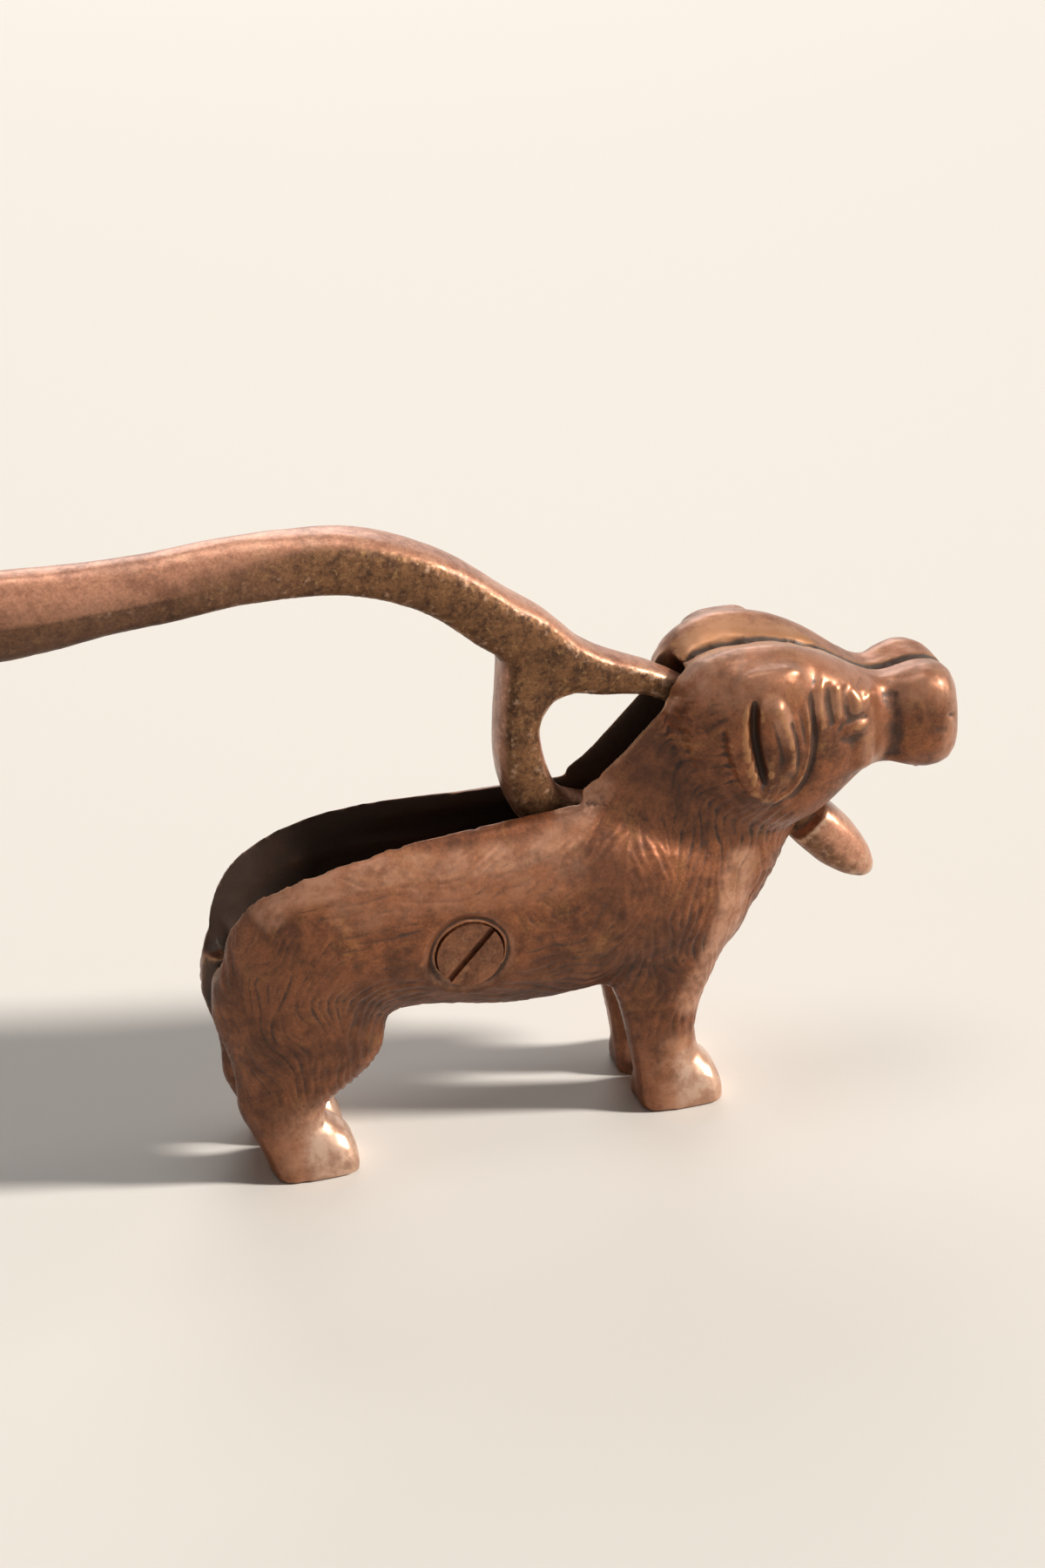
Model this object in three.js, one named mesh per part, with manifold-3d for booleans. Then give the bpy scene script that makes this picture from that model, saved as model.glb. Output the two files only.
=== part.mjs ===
// A cast-iron nutcracker in the form of a standing retriever. The tail is the handle: it is one casting with
// the lower jaw, and it turns on a steel pin between the two half shells of the body.
// X runs from tail to nose, Y to the dog's left, Z up. The paws stand on Z = 0.

import * as THREE from 'three';
import { mergeVertices } from 'three/addons/utils/BufferGeometryUtils.js';
import Module from 'manifold-3d';

const wasm = await Module();
wasm.setup();

// Driving dimensions, in millimetres and degrees. X is measured from the heel of the hind paw.

const trunkLength = 136; // rump to breast
const rumpX = -13;
const backHeight = 87; // top line of the back above the table
const bodyWidth = 45;
const wallThickness = 4.5;
const halvesGap = 0.3; // joint line between the two half shells

const headLength = 76.5; // back of the skull to the nose
const headHeight = 46;
const headWidth = 46;
const skullBackX = 101;
const jawlineZ = 73;
const furrowDepth = 3.8; // groove between the two domes of the skull
const furrowWidth = 24;
const earLength = 36.5;
const earWidth = 21;
const earThickness = 9.5;
const earShare = 0.2745; // middle of the ear from the back of the skull, as a share of the head's length
const earX = skullBackX + earShare * headLength;
const earY = 20.4;
const earTipZ = 81.5;

const neckLength = 60;
const neckBackX = 75;
const neckHeight = 112;
const neckWidth = 33;

const hindLegX = 4.2;
const hindLegHeight = 68;
const hindLegDepth = 42;
const foreLegX = 98.5;
const foreLegHeight = 64;
const foreLegDepth = 31;
const legWidth = 25;
const pawTrack = 20;
const pawLength = 22;
const pawHeight = 14;
const pawWidth = 18.6;
const heelShare = 0.46; // heel behind the middle of the leg, as a share of the paw's length

const slotLength = 92; // opening along the back that takes the lever
const slotWidth = 28;
const slotEndZ = 55;
const neckSlotWidth = 12.4;
const mouthWidth = 22.4;
const palateRise = 12;

const pivotShare = 0.30327; // pivot pin from the back of the skull, as a share of the head's length
const pivotX = skullBackX + pivotShare * headLength;
const pivotZ = 82.8;
const pinRadius = 3;
const pinLength = 26;
const turningClearance = 0.3;
const hubRadius = 8;
const leverPlateWidth = 10.6; // the lever where it runs between the half shells

const handleEndX = -92;
const handleZ = 154.5; // middle of the tail handle
const handleDepth = 22;
const handleWidth = 18.4;
const archDepth = 14.6;
const archWidth = 17.6;
const forkX = 70;
const forkZ = 127.5;
const strutX = 66.5;
const strutDepth = 11.5;
const strutFootShare = 0.92; // foot of the strut, as a share of the back's height
const linkDrop = 17; // how far the hidden link can hang below the pivot
const strutWidth = 14;
const webWidthShare = 0.44; // half width of the web in the fork, as a share of the strut's width

const jawLength = 46.5; // pivot to the tip of the lower jaw
const jawAngle = -47.7; // direction of the lower jaw when the mouth is open
const jawThickness = 13.4;
const jawWidth = 20;
const jawRoot = 20.5; // where the jaw widens, measured from the pivot

const screwX = 45.7;
const screwZ = 56.4;
const screwHeadRadius = 8.3;
const screwHeadThickness = 3;
const screwShankRadius = 4;
const screwClearance = 0.3;
const screwSink = 1; // the head lies this far below the flank
const screwRimWidth = 1.3; // bevelled rim round the recess of the head
const screwEngagement = 10; // length of thread in the far half shell
const driverSlotWidth = 1.7;
const driverSlotDepth = 1.4;
const driverSlotAngle = 45;
const bossRadius = 7.5;

const ringCount = 24;
const headRingCount = 48;
const earRingCount = 16;
const legRingCount = 18;
const pawRingCount = 20;
const leverRingCount = 20;
const trunkSquareness = 2.3;
const neckSquareness = 2.2;
const earSquareness = 2.2;
const legSquareness = 2.1;
const pawSquareness = 2.3;
const roundSideCount = 32;
const cutOverrun = 60; // how far a cutting tool runs past what it cuts
const mergeTolerance = 0.0001;

const rad = THREE.MathUtils.degToRad;

const noseX = skullBackX + headLength;

// Solid modelling helpers

function toSolid(geometry) {
  const plain = geometry.index ? geometry.toNonIndexed() : geometry.clone();
  plain.deleteAttribute('normal');
  plain.deleteAttribute('uv');
  const merged = mergeVertices(plain, mergeTolerance);
  return new wasm.Manifold(
    new wasm.Mesh({
      numProp: 3,
      vertProperties: new Float32Array(merged.attributes.position.array),
      triVerts: new Uint32Array(merged.index.array),
    }),
  );
}

function toGeometry(solid) {
  const mesh = solid.getMesh();
  const positions = new Float32Array(mesh.numVert * 3);
  for (let i = 0; i < mesh.numVert; i++) {
    positions.set(mesh.vertProperties.subarray(i * mesh.numProp, i * mesh.numProp + 3), i * 3);
  }
  const geometry = new THREE.BufferGeometry();
  geometry.setAttribute('position', new THREE.BufferAttribute(positions, 3));
  geometry.setIndex(new THREE.BufferAttribute(new Uint32Array(mesh.triVerts), 1));
  geometry.computeVertexNormals();
  return geometry;
}

function union(solids) {
  return solids.reduce((sum, solid) => sum.add(solid));
}

// A value between b and c on a smooth curve through the values a, b, c and d.
function smooth(a, b, c, d, t) {
  const square = t * t;
  const cube = square * t;
  return 0.5 * (2 * b + (c - a) * t + (2 * a - 5 * b + 4 * c - d) * square + (3 * b - a - 3 * c + d) * cube);
}

// Stations hold numbers under the same names. This puts more of them on smooth curves between the given ones.
function refine(stations, steps) {
  const fine = [];
  const last = stations.length - 1;
  for (let i = 0; i < last; i++) {
    const [a, b, c, d] = [Math.max(i - 1, 0), i, i + 1, Math.min(i + 2, last)].map((k) => stations[k]);
    for (let s = 0; s < steps; s++) {
      const between = {};
      for (const key of Object.keys(b)) between[key] = smooth(a[key], b[key], c[key], d[key], s / steps);
      fine.push(between);
    }
  }
  fine.push(stations[last]);
  return fine;
}

function signedPower(value, power) {
  return Math.sign(value) * Math.abs(value) ** power;
}

// A closed body through rounded sections. A station has its centre x, y, z, the direction of the body in the
// side view, its half sizes across that direction (tall) and across the dog (wide), and how square the
// section is: 2 is an ellipse. A furrow sinks the upper side of the section at its middle.
function loft(stations, { steps = 2, points = ringCount } = {}) {
  const rings = refine(stations, steps);
  const positions = [];
  for (const s of rings) {
    const power = 2 / s.square;
    for (let k = 0; k < points; k++) {
      const angle = (2 * Math.PI * k) / points;
      const across = s.wide * signedPower(Math.cos(angle), power);
      let up = s.tall * signedPower(Math.sin(angle), power);
      if (s.furrow && up > 0) {
        const near = Math.max(0, 1 - (2 * Math.abs(across)) / furrowWidth);
        up -= s.furrow * near * near * (3 - 2 * near);
      }
      positions.push(s.x - up * Math.sin(s.lean), s.y + across, s.z + up * Math.cos(s.lean));
    }
  }
  const first = positions.length / 3;
  positions.push(rings[0].x, rings[0].y, rings[0].z);
  const end = rings[rings.length - 1];
  positions.push(end.x, end.y, end.z);
  const index = [];
  for (let r = 0; r + 1 < rings.length; r++) {
    for (let k = 0; k < points; k++) {
      const a = r * points + k;
      const b = r * points + ((k + 1) % points);
      index.push(a, b, b + points, a, b + points, a + points);
    }
  }
  const lastRing = (rings.length - 1) * points;
  for (let k = 0; k < points; k++) {
    const next = (k + 1) % points;
    index.push(first, next, k);
    index.push(first + 1, lastRing + k, lastRing + next);
  }
  const geometry = new THREE.BufferGeometry();
  geometry.setAttribute('position', new THREE.Float32BufferAttribute(positions, 3));
  geometry.setIndex(index);
  const solid = toSolid(geometry);
  return solid.volume() < 0 ? toSolid(flipped(geometry)) : solid;
}

function flipped(geometry) {
  const index = Array.from(geometry.index.array);
  for (let i = 0; i < index.length; i += 3) [index[i + 1], index[i + 2]] = [index[i + 2], index[i + 1]];
  return geometry.clone().setIndex(index);
}

// Gives each station the direction of the path that the stations make in the side view.
function alongPath(stations) {
  return stations.map((s, i) => {
    const before = stations[Math.max(i - 1, 0)];
    const after = stations[Math.min(i + 1, stations.length - 1)];
    return { ...s, lean: Math.atan2(after.z - before.z, after.x - before.x) };
  });
}

// A side-view outline, points [x, z], as a plate across the dog from y = low to y = high.
function plate(outline, low, high) {
  const shape = new THREE.Shape(outline.map(([x, z]) => new THREE.Vector2(x, z)));
  const geometry = new THREE.ExtrudeGeometry(shape, { depth: high - low, bevelEnabled: false });
  geometry.rotateX(Math.PI / 2);
  geometry.translate(0, high, 0);
  return toSolid(geometry);
}

// A plan-view outline, points [x, y], as a block from z = low to z = high.
function block(outline, low, high) {
  const shape = new THREE.Shape(outline.map(([x, y]) => new THREE.Vector2(x, y)));
  const geometry = new THREE.ExtrudeGeometry(shape, { depth: high - low, bevelEnabled: false });
  geometry.translate(0, 0, low);
  return toSolid(geometry);
}

// A round bar across the dog, from y = low to y = high.
function crossBar(radius, x, z, low, high, farRadius = radius) {
  const geometry = new THREE.CylinderGeometry(farRadius, radius, high - low, roundSideCount);
  geometry.translate(x, (low + high) / 2, 0);
  geometry.translate(0, 0, z);
  return toSolid(geometry);
}

function mirrored(solid) {
  const geometry = toGeometry(solid);
  geometry.scale(1, -1, 1);
  return toSolid(flipped(geometry));
}

function bothSides(solid) {
  return solid.add(mirrored(solid));
}

// Body of the dog. Each table row gives shares of the named sizes of its piece.

// Rows: place along the trunk, top and bottom of the section as shares of the back's height, width.
const trunkShares = [
  [0.0, 0.76, 0.6, 0.34],
  [0.025, 0.845, 0.49, 0.64],
  [0.075, 0.93, 0.43, 0.86],
  [0.155, 0.99, 0.42, 0.97],
  [0.255, 1.02, 0.43, 1.0],
  [0.37, 1.015, 0.425, 0.985],
  [0.49, 1.0, 0.385, 1.0],
  [0.6, 0.995, 0.375, 1.0],
  [0.72, 0.985, 0.385, 0.98],
  [0.835, 0.95, 0.38, 0.92],
  [0.92, 0.87, 0.415, 0.8],
  [0.97, 0.8, 0.48, 0.6],
  [1.0, 0.73, 0.56, 0.3],
];

function trunk(inset) {
  const stations = trunkShares.map(([along, top, bottom, wide]) => {
    const high = top * backHeight;
    const low = bottom * backHeight;
    return {
      x: rumpX + along * trunkLength,
      y: 0,
      z: (high + low) / 2,
      lean: 0,
      tall: (high - low) / 2 - inset,
      wide: (wide * bodyWidth) / 2 - inset,
      square: trunkSquareness,
      furrow: 0,
    };
  });
  const kept = inset ? stations.filter((s) => s.wide > inset && s.tall > inset) : stations;
  return loft(kept);
}

// Rows: place along the neck, top and bottom of the section as shares of the neck's height, width.
const neckShares = [
  [0.0, 0.775, 0.66, 0.5],
  [0.08, 0.815, 0.54, 0.6],
  [0.15, 0.835, 0.51, 0.68],
  [0.22, 0.862, 0.49, 0.76],
  [0.35, 0.925, 0.45, 0.88],
  [0.48, 0.985, 0.4, 0.97],
  [0.62, 1.0, 0.37, 1.0],
  [0.74, 0.98, 0.385, 0.97],
  [0.84, 0.96, 0.45, 0.9],
  [0.93, 0.94, 0.54, 0.84],
  [1.0, 0.88, 0.6, 0.72],
];

function neck() {
  return loft(
    neckShares.map(([along, top, bottom, wide]) => ({
      x: neckBackX + along * neckLength,
      y: 0,
      z: ((top + bottom) * neckHeight) / 2,
      lean: 0,
      tall: ((top - bottom) * neckHeight) / 2,
      wide: (wide * neckWidth) / 2,
      square: neckSquareness,
      furrow: 0,
    })),
  );
}

// Rows: place along the head, top and bottom of the section as shares of the head's height, width, furrow,
// squareness.
const headShares = [
  [0.0, 0.78, 0.32, 0.42, 0.3, 2.3],
  [0.05, 0.91, 0.2, 0.72, 0.8, 2.7],
  [0.13, 1.0, 0.08, 0.9, 1.0, 3.3],
  [0.23, 1.04, 0.0, 0.97, 1.1, 3.7],
  [0.34, 1.035, -0.04, 0.98, 1.1, 3.8],
  [0.45, 0.985, -0.02, 0.95, 1.0, 3.6],
  [0.56, 0.895, 0.08, 0.85, 0.8, 3.2],
  [0.65, 0.785, 0.15, 0.7, 0.6, 2.8],
  [0.72, 0.715, 0.155, 0.62, 0.5, 2.9],
  [0.78, 0.715, 0.135, 0.66, 0.6, 3.2],
  [0.86, 0.745, 0.115, 0.71, 0.7, 3.5],
  [0.94, 0.72, 0.125, 0.65, 0.6, 3.2],
  [0.985, 0.62, 0.18, 0.43, 0.2, 2.6],
  [1.0, 0.5, 0.28, 0.2, 0.0, 2.2],
];

function head() {
  return loft(
    headShares.map(([along, top, bottom, wide, furrow, square]) => ({
      x: skullBackX + along * headLength,
      y: 0,
      z: jawlineZ + ((top + bottom) * headHeight) / 2,
      lean: 0,
      tall: ((top - bottom) * headHeight) / 2,
      wide: (wide * headWidth) / 2,
      square,
      furrow: furrow * furrowDepth,
    })),
    { points: headRingCount },
  );
}

// Rows: height on the ear from its tip, shift along the dog, width and thickness.
const earShares = [
  [1.0, 0.12, 0.5, 0.4],
  [0.95, 0.1, 0.86, 0.78],
  [0.82, 0.05, 1.0, 1.0],
  [0.6, 0.02, 1.0, 1.0],
  [0.4, 0.02, 0.97, 0.98],
  [0.2, -0.02, 0.78, 0.86],
  [0.06, -0.05, 0.48, 0.6],
  [0.0, -0.06, 0.2, 0.3],
];

function ear() {
  return loft(
    earShares.map(([up, shift, wide, thick]) => ({
      x: earX + shift * earWidth,
      y: -earY,
      z: earTipZ + up * earLength,
      lean: -Math.PI / 2,
      tall: (wide * earWidth) / 2,
      wide: (thick * earThickness) / 2,
      square: earSquareness,
    })),
    { points: earRingCount },
  );
}

// Rows: height on the leg, shift along the dog, place of the middle across the dog, depth, width.
const hindLegShares = [
  [1.0, 0.02, 0.5, 0.55, 0.7],
  [0.9, 0.02, 0.62, 0.84, 0.92],
  [0.77, 0.02, 0.7, 0.98, 1.0],
  [0.64, 0.03, 0.75, 1.02, 0.98],
  [0.52, 0.05, 0.8, 0.96, 0.9],
  [0.42, 0.04, 0.88, 0.88, 0.76],
  [0.34, -0.04, 0.95, 0.72, 0.64],
  [0.275, -0.13, 0.99, 0.55, 0.57],
  [0.19, -0.12, 1.0, 0.46, 0.53],
  [0.1, -0.08, 1.0, 0.42, 0.54],
  [0.0, -0.05, 1.0, 0.4, 0.52],
];
const foreLegShares = [
  [1.0, 0.06, 0.5, 0.6, 0.6],
  [0.85, 0.06, 0.68, 0.95, 0.86],
  [0.7, 0.03, 0.8, 1.02, 0.84],
  [0.56, -0.04, 0.92, 0.9, 0.7],
  [0.44, -0.08, 1.0, 0.7, 0.6],
  [0.31, -0.09, 1.0, 0.58, 0.56],
  [0.19, -0.06, 1.0, 0.57, 0.55],
  [0.08, -0.01, 1.0, 0.62, 0.56],
  [0.0, 0.0, 1.0, 0.6, 0.54],
];

function leg(shares, x, height, depth) {
  return loft(
    shares.map(([up, shift, out, deep, wide]) => ({
      x: x + shift * depth,
      y: (-out * pawTrack) / 2,
      z: up * height,
      lean: -Math.PI / 2,
      tall: (deep * depth) / 2,
      wide: (wide * legWidth) / 2,
      square: legSquareness,
    })),
    { points: legRingCount },
  );
}

// Rows: place along the paw from the heel, height of its top, width.
const pawShares = [
  [0.0, 0.45, 0.5],
  [0.1, 0.75, 0.82],
  [0.35, 0.92, 0.94],
  [0.62, 1.0, 1.0],
  [0.85, 0.8, 0.98],
  [0.96, 0.5, 0.76],
  [1.0, 0.28, 0.45],
];

function paw(heelX) {
  return loft(
    pawShares.map(([along, top, wide]) => ({
      x: heelX + along * pawLength,
      y: -pawTrack / 2,
      z: 0,
      lean: 0,
      tall: top * pawHeight,
      wide: (wide * pawWidth) / 2,
      square: pawSquareness,
    })),
    { points: pawRingCount },
  );
}

// Everything below the table is cut away.
function aboveTable(solid) {
  const ground = [
    [rumpX - cutOverrun, -bodyWidth],
    [noseX + cutOverrun, -bodyWidth],
    [noseX + cutOverrun, bodyWidth],
    [rumpX - cutOverrun, bodyWidth],
  ];
  return solid.subtract(block(ground, -cutOverrun, 0));
}

// Rows: place along the opening in the back, its width.
const slotShares = [
  [0.0, 0.56],
  [0.05, 0.7],
  [0.15, 0.9],
  [0.26, 1.0],
  [0.38, 1.0],
  [0.58, 0.8],
  [0.76, 0.64],
  [1.0, 0.54],
];

// The opening in the back, wide over the loins for the arch of the lever and narrow at the neck.
function backSlot() {
  const startX = rumpX + halvesGap;
  const side = slotShares.map(([along, wide]) => [startX + along * slotLength, (wide * slotWidth) / 2]);
  const rear = [startX - cutOverrun, side[0][1]];
  const right = [rear, ...side].map(([x, y]) => [x, -y]);
  return block([...right, ...[rear, ...side].reverse()], slotEndZ, slotEndZ + cutOverrun);
}

// Side-view points round the pivot, at a distance and an angle from it.
function roundPivot(distance, degrees) {
  return [pivotX + distance * Math.cos(rad(degrees)), pivotZ + distance * Math.sin(rad(degrees))];
}

const slotTopShare = 1.5; // top of the cutting tool above the jaw line, as a share of the head's height

// Rows: place along the head and height above the jaw line of the edge over the upper branch of the lever.
const slotRoofShares = [
  [0.22, 0.67],
  [0.12, 0.84],
  [0.03, 1.0],
  [0.02, slotTopShare],
];
const jawSweep = [-82, -66, -50, -34, -18, -4, 10]; // directions the narrow root of the jaw swings through
const hubSweep = [34, 58, 82];
const throatDirection = -110;
const hubRelief = 1.65; // the hollow above the hub, in hub radii

// The narrow opening through the neck, in which the lever swings.
function neckSlot() {
  const backX = neckBackX - wallThickness;
  const outline = [
    [backX, slotEndZ],
    [pivotX - jawRoot, slotEndZ],
    roundPivot(jawRoot, throatDirection),
    ...jawSweep.map((degrees) => roundPivot(jawRoot + turningClearance, degrees)),
    ...hubSweep.map((degrees) => roundPivot(hubRadius * hubRelief, degrees)),
    ...slotRoofShares.map(([along, up]) => [skullBackX + along * headLength, jawlineZ + up * headHeight]),
    [backX, jawlineZ + headHeight * slotTopShare],
  ];
  return plate(outline, -neckSlotWidth / 2, neckSlotWidth / 2);
}

// Rows: place along the head, height of the palate above the jaw line.
const palateShares = [
  [1.5, 0.44],
  [0.89, 0.44],
  [0.82, 0.68],
  [0.74, 0.97],
  [0.65, 1.17],
];
const mouthSweep = [22, 0, -22, -44, -60, -74]; // directions of the round back of the mouth from the pivot
const mouthFloorDirection = -68;

// The mouth is open below the palate and in front of the wide part of the lower jaw.
function mouth() {
  const clear = jawRoot - turningClearance * 2;
  const back = mouthSweep.map((degrees) => roundPivot(clear, degrees));
  const palate = palateShares.map(([along, up]) => [
    skullBackX + along * headLength,
    jawlineZ + up * palateRise,
  ]);
  const below = [noseX + cutOverrun, pivotZ - cutOverrun];
  const throat = roundPivot(cutOverrun, mouthFloorDirection);
  return plate([...palate, ...back, throat, below], -mouthWidth / 2, mouthWidth / 2);
}

function bodyCasting() {
  const near = union([
    leg(hindLegShares, hindLegX, hindLegHeight, hindLegDepth),
    leg(foreLegShares, foreLegX, foreLegHeight, foreLegDepth),
    paw(hindLegX - pawLength * heelShare),
    paw(foreLegX - pawLength * heelShare),
    ear(),
  ]);
  const innerY = bodyWidth / 2 - wallThickness;
  const boss = crossBar(bossRadius, screwX, screwZ, -innerY, innerY);
  const outside = aboveTable(union([trunk(0), neck(), head(), bothSides(near)]));
  return outside
    .subtract(trunk(wallThickness))
    .subtract(backSlot())
    .subtract(neckSlot())
    .subtract(mouth())
    .add(boss);
}

function half(casting, side) {
  const low = side < 0 ? -cutOverrun : halvesGap / 2;
  const high = side < 0 ? -halvesGap / 2 : cutOverrun;
  const outline = [
    [rumpX - cutOverrun, -cutOverrun],
    [noseX + cutOverrun, -cutOverrun],
    [noseX + cutOverrun, neckHeight + cutOverrun],
    [rumpX - cutOverrun, neckHeight + cutOverrun],
  ];
  return casting.intersect(plate(outline, low, high));
}

const flankY = -bodyWidth / 2;
const headTopY = flankY + screwSink;
const headSeatY = headTopY + screwHeadThickness;
const threadEndY = bodyWidth / 2 - wallThickness - screwClearance;

function screwHoles() {
  const recessRadius = screwHeadRadius + screwClearance;
  const bevelDepth = screwRimWidth;
  return union([
    crossBar(screwShankRadius + screwClearance, screwX, screwZ, headSeatY, threadEndY + screwClearance),
    crossBar(recessRadius, screwX, screwZ, flankY - cutOverrun, headSeatY + screwClearance),
    crossBar(
      recessRadius + bevelDepth * 2,
      screwX,
      screwZ,
      flankY - bevelDepth,
      flankY + bevelDepth,
      recessRadius,
    ),
  ]);
}

function flankScrew() {
  const angle = rad(driverSlotAngle);
  const reach = screwHeadRadius + screwRimWidth;
  const alongSlot = [Math.cos(angle), Math.sin(angle)];
  const acrossSlot = [-Math.sin(angle), Math.cos(angle)];
  const corner = (a, b) => [
    screwX + a * reach * alongSlot[0] + (b * driverSlotWidth * acrossSlot[0]) / 2,
    screwZ + a * reach * alongSlot[1] + (b * driverSlotWidth * acrossSlot[1]) / 2,
  ];
  const driverSlot = [corner(-1, -1), corner(1, -1), corner(1, 1), corner(-1, 1)];
  return crossBar(screwHeadRadius, screwX, screwZ, headTopY, headSeatY)
    .add(crossBar(screwShankRadius, screwX, screwZ, headTopY, threadEndY))
    .subtract(plate(driverSlot, headTopY - cutOverrun, headTopY + driverSlotDepth));
}

function pinHole() {
  const reach = pinLength / 2 + turningClearance;
  return crossBar(pinRadius + turningClearance, pivotX, pivotZ, -reach, reach);
}

// The tail handle, arch and upper branch of the lever. Rows: path point, half depth, half width, squareness.
// Handle rows are placed between the handle's end and the rear of the body, and arch rows between there and
// the fork.
const handleShares = [
  [0.0, 0.42, 0.25, 0.28, 2.0],
  [0.045, 0.3, 0.68, 0.7, 2.0],
  [0.16, 0.1, 0.94, 0.93, 2.0],
  [0.33, 0.0, 1.0, 1.0, 2.1],
  [0.48, -0.02, 0.98, 1.0, 2.2],
  [0.64, -0.02, 0.89, 0.98, 2.3],
  [0.79, 0.01, 0.78, 0.97, 2.7],
];
const archShares = [
  [0.0, 0.03, 1.1, 1.0, 3.2],
  [0.15, 0.07, 1.06, 1.0, 3.6],
  [0.32, 0.055, 1.03, 1.0, 3.8],
  [0.48, 0.0, 1.03, 1.0, 3.8],
  [0.64, -0.175, 1.0, 0.97, 3.8],
  [0.78, -0.43, 0.99, 0.93, 3.8],
  [0.9, -0.76, 1.02, 0.89, 3.8],
];
const branchShares = [
  [0.0, 1.01, 1.02, 0.85, 3.8],
  [0.17, 0.82, 0.89, 0.79, 3.8],
  [0.34, 0.72, 0.73, 0.7, 3.8],
  [0.53, 0.65, 0.53, 0.62, 3.8],
  [0.7, 0.52, 0.51, 0.6, 4.0],
  [0.86, 0.33, 0.68, 0.6, 4.0],
  [0.97, 0.12, 0.72, 0.6, 4.0],
];
const strutShares = [
  [0.0, 0.06, 1.1, 0.98, 4.0],
  [0.16, 0.05, 1.15, 0.98, 3.6],
  [0.36, 0.0, 0.95, 0.96, 3.2],
  [0.54, -0.015, 0.97, 0.98, 3.2],
  [0.72, 0.0, 1.06, 1.0, 3.4],
  [0.9, 0.06, 1.1, 0.9, 3.6],
];
const linkShares = [
  [0.0, -0.18, 1.0, 0.76, 4.0],
  [0.28, -0.36, 0.95, 0.75, 4.0],
  [0.6, -0.3, 0.95, 0.75, 4.0],
  [1.0, 0.0, 1.0, 0.75, 4.0],
];

function tailArm() {
  const rearX = rumpX;
  const handle = handleShares.map(([along, up, deep, wide, square]) => ({
    x: handleEndX + along * (rearX - handleEndX),
    y: 0,
    z: handleZ + up * handleDepth,
    tall: (deep * handleDepth) / 2,
    wide: (wide * handleWidth) / 2,
    square,
  }));
  const drop = handleZ - forkZ;
  const arch = archShares.map(([along, up, deep, wide, square]) => ({
    x: rearX + along * (forkX - rearX),
    y: 0,
    z: handleZ + up * drop,
    tall: (deep * archDepth) / 2,
    wide: (wide * archWidth) / 2,
    square,
  }));
  const branch = branchShares.map(([along, up, deep, wide, square]) => ({
    x: forkX + along * (pivotX - forkX),
    y: 0,
    z: pivotZ + up * (forkZ - pivotZ),
    tall: (deep * archDepth) / 2,
    wide: (wide * archWidth) / 2,
    square,
  }));
  return loft(alongPath([...handle, ...arch, ...branch]), { points: leverRingCount });
}

// Rows: the rounded corner of the window between the strut and the upper branch, as shares of the drop of the
// branch from the fork to the pivot, forward and down.
const webShares = [
  [-0.07, 0.1],
  [-0.07, 0.62],
  [0.005, 0.555],
  [0.03, 0.45],
  [0.105, 0.355],
  [0.23, 0.33],
  [0.33, 0.345],
  [0.33, 0.2],
  [0.1, 0.05],
];

function forkWeb() {
  const drop = forkZ - pivotZ;
  const outline = webShares.map(([forward, down]) => [forkX + forward * drop, forkZ - down * drop]);
  return plate(outline, -strutWidth * webWidthShare, strutWidth * webWidthShare);
}

// The strut drops from the fork into the back, and its hidden foot runs forward to the hub.
function strut() {
  const footZ = backHeight * strutFootShare;
  const fall = forkZ - footZ;
  const down = strutShares.map(([along, shift, deep, wide, square]) => ({
    x: strutX + shift * fall,
    y: 0,
    z: forkZ - along * fall,
    tall: (deep * strutDepth) / 2,
    wide: (wide * strutWidth) / 2,
    square,
  }));
  const foot = down[down.length - 1];
  const link = linkShares.map(([along, up, deep, wide, square]) => ({
    x: foot.x + strutDepth / 2 + along * (pivotX - foot.x - strutDepth / 2),
    y: 0,
    z: pivotZ + up * linkDrop,
    tall: (deep * strutDepth) / 2,
    wide: (wide * strutWidth) / 2,
    square,
  }));
  return loft(alongPath([...down, ...link]), { points: leverRingCount });
}

// Rows: distance from the pivot along the jaw, thickness, width, squareness.
const jawShares = [
  [0.0, 0.95, 0.53, 3.6],
  [0.2, 0.95, 0.53, 3.6],
  [0.43, 0.95, 0.53, 3.6],
  [0.455, 0.97, 0.94, 3.2],
  [0.55, 1.0, 1.0, 3.0],
  [0.69, 0.98, 1.0, 2.9],
  [0.83, 0.8, 0.92, 2.7],
  [0.93, 0.52, 0.72, 2.4],
  [0.98, 0.28, 0.44, 2.2],
  [1.0, 0.1, 0.18, 2.0],
];

function lowerJaw() {
  const stations = jawShares.map(([along, thick, wide, square]) => {
    const [x, z] = roundPivot(along * jawLength, jawAngle);
    return {
      x,
      y: 0,
      z,
      lean: rad(jawAngle),
      tall: (thick * jawThickness) / 2,
      wide: (wide * jawWidth) / 2,
      square,
    };
  });
  return loft(stations, { steps: 1, points: leverRingCount });
}

function tailLever() {
  const hub = crossBar(hubRadius, pivotX, pivotZ, -leverPlateWidth / 2, leverPlateWidth / 2);
  return union([tailArm(), strut(), forkWeb(), hub, lowerJaw()]).subtract(pinHole());
}

// Materials and the assembly

const castIron = new THREE.MeshStandardMaterial({ color: 0x6b4534, roughness: 0.55, metalness: 0.55 });
const castIronLever = new THREE.MeshStandardMaterial({ color: 0x70503c, roughness: 0.5, metalness: 0.55 });
const wornSteel = new THREE.MeshStandardMaterial({ color: 0x5a4436, roughness: 0.45, metalness: 0.8 });
const brightSteel = new THREE.MeshStandardMaterial({ color: 0x8d8580, roughness: 0.35, metalness: 0.9 });

function piece(name, solid, material) {
  const mesh = new THREE.Mesh(toGeometry(solid), material);
  mesh.name = name;
  return mesh;
}

const casting = bodyCasting().subtract(pinHole()).subtract(screwHoles());

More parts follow.
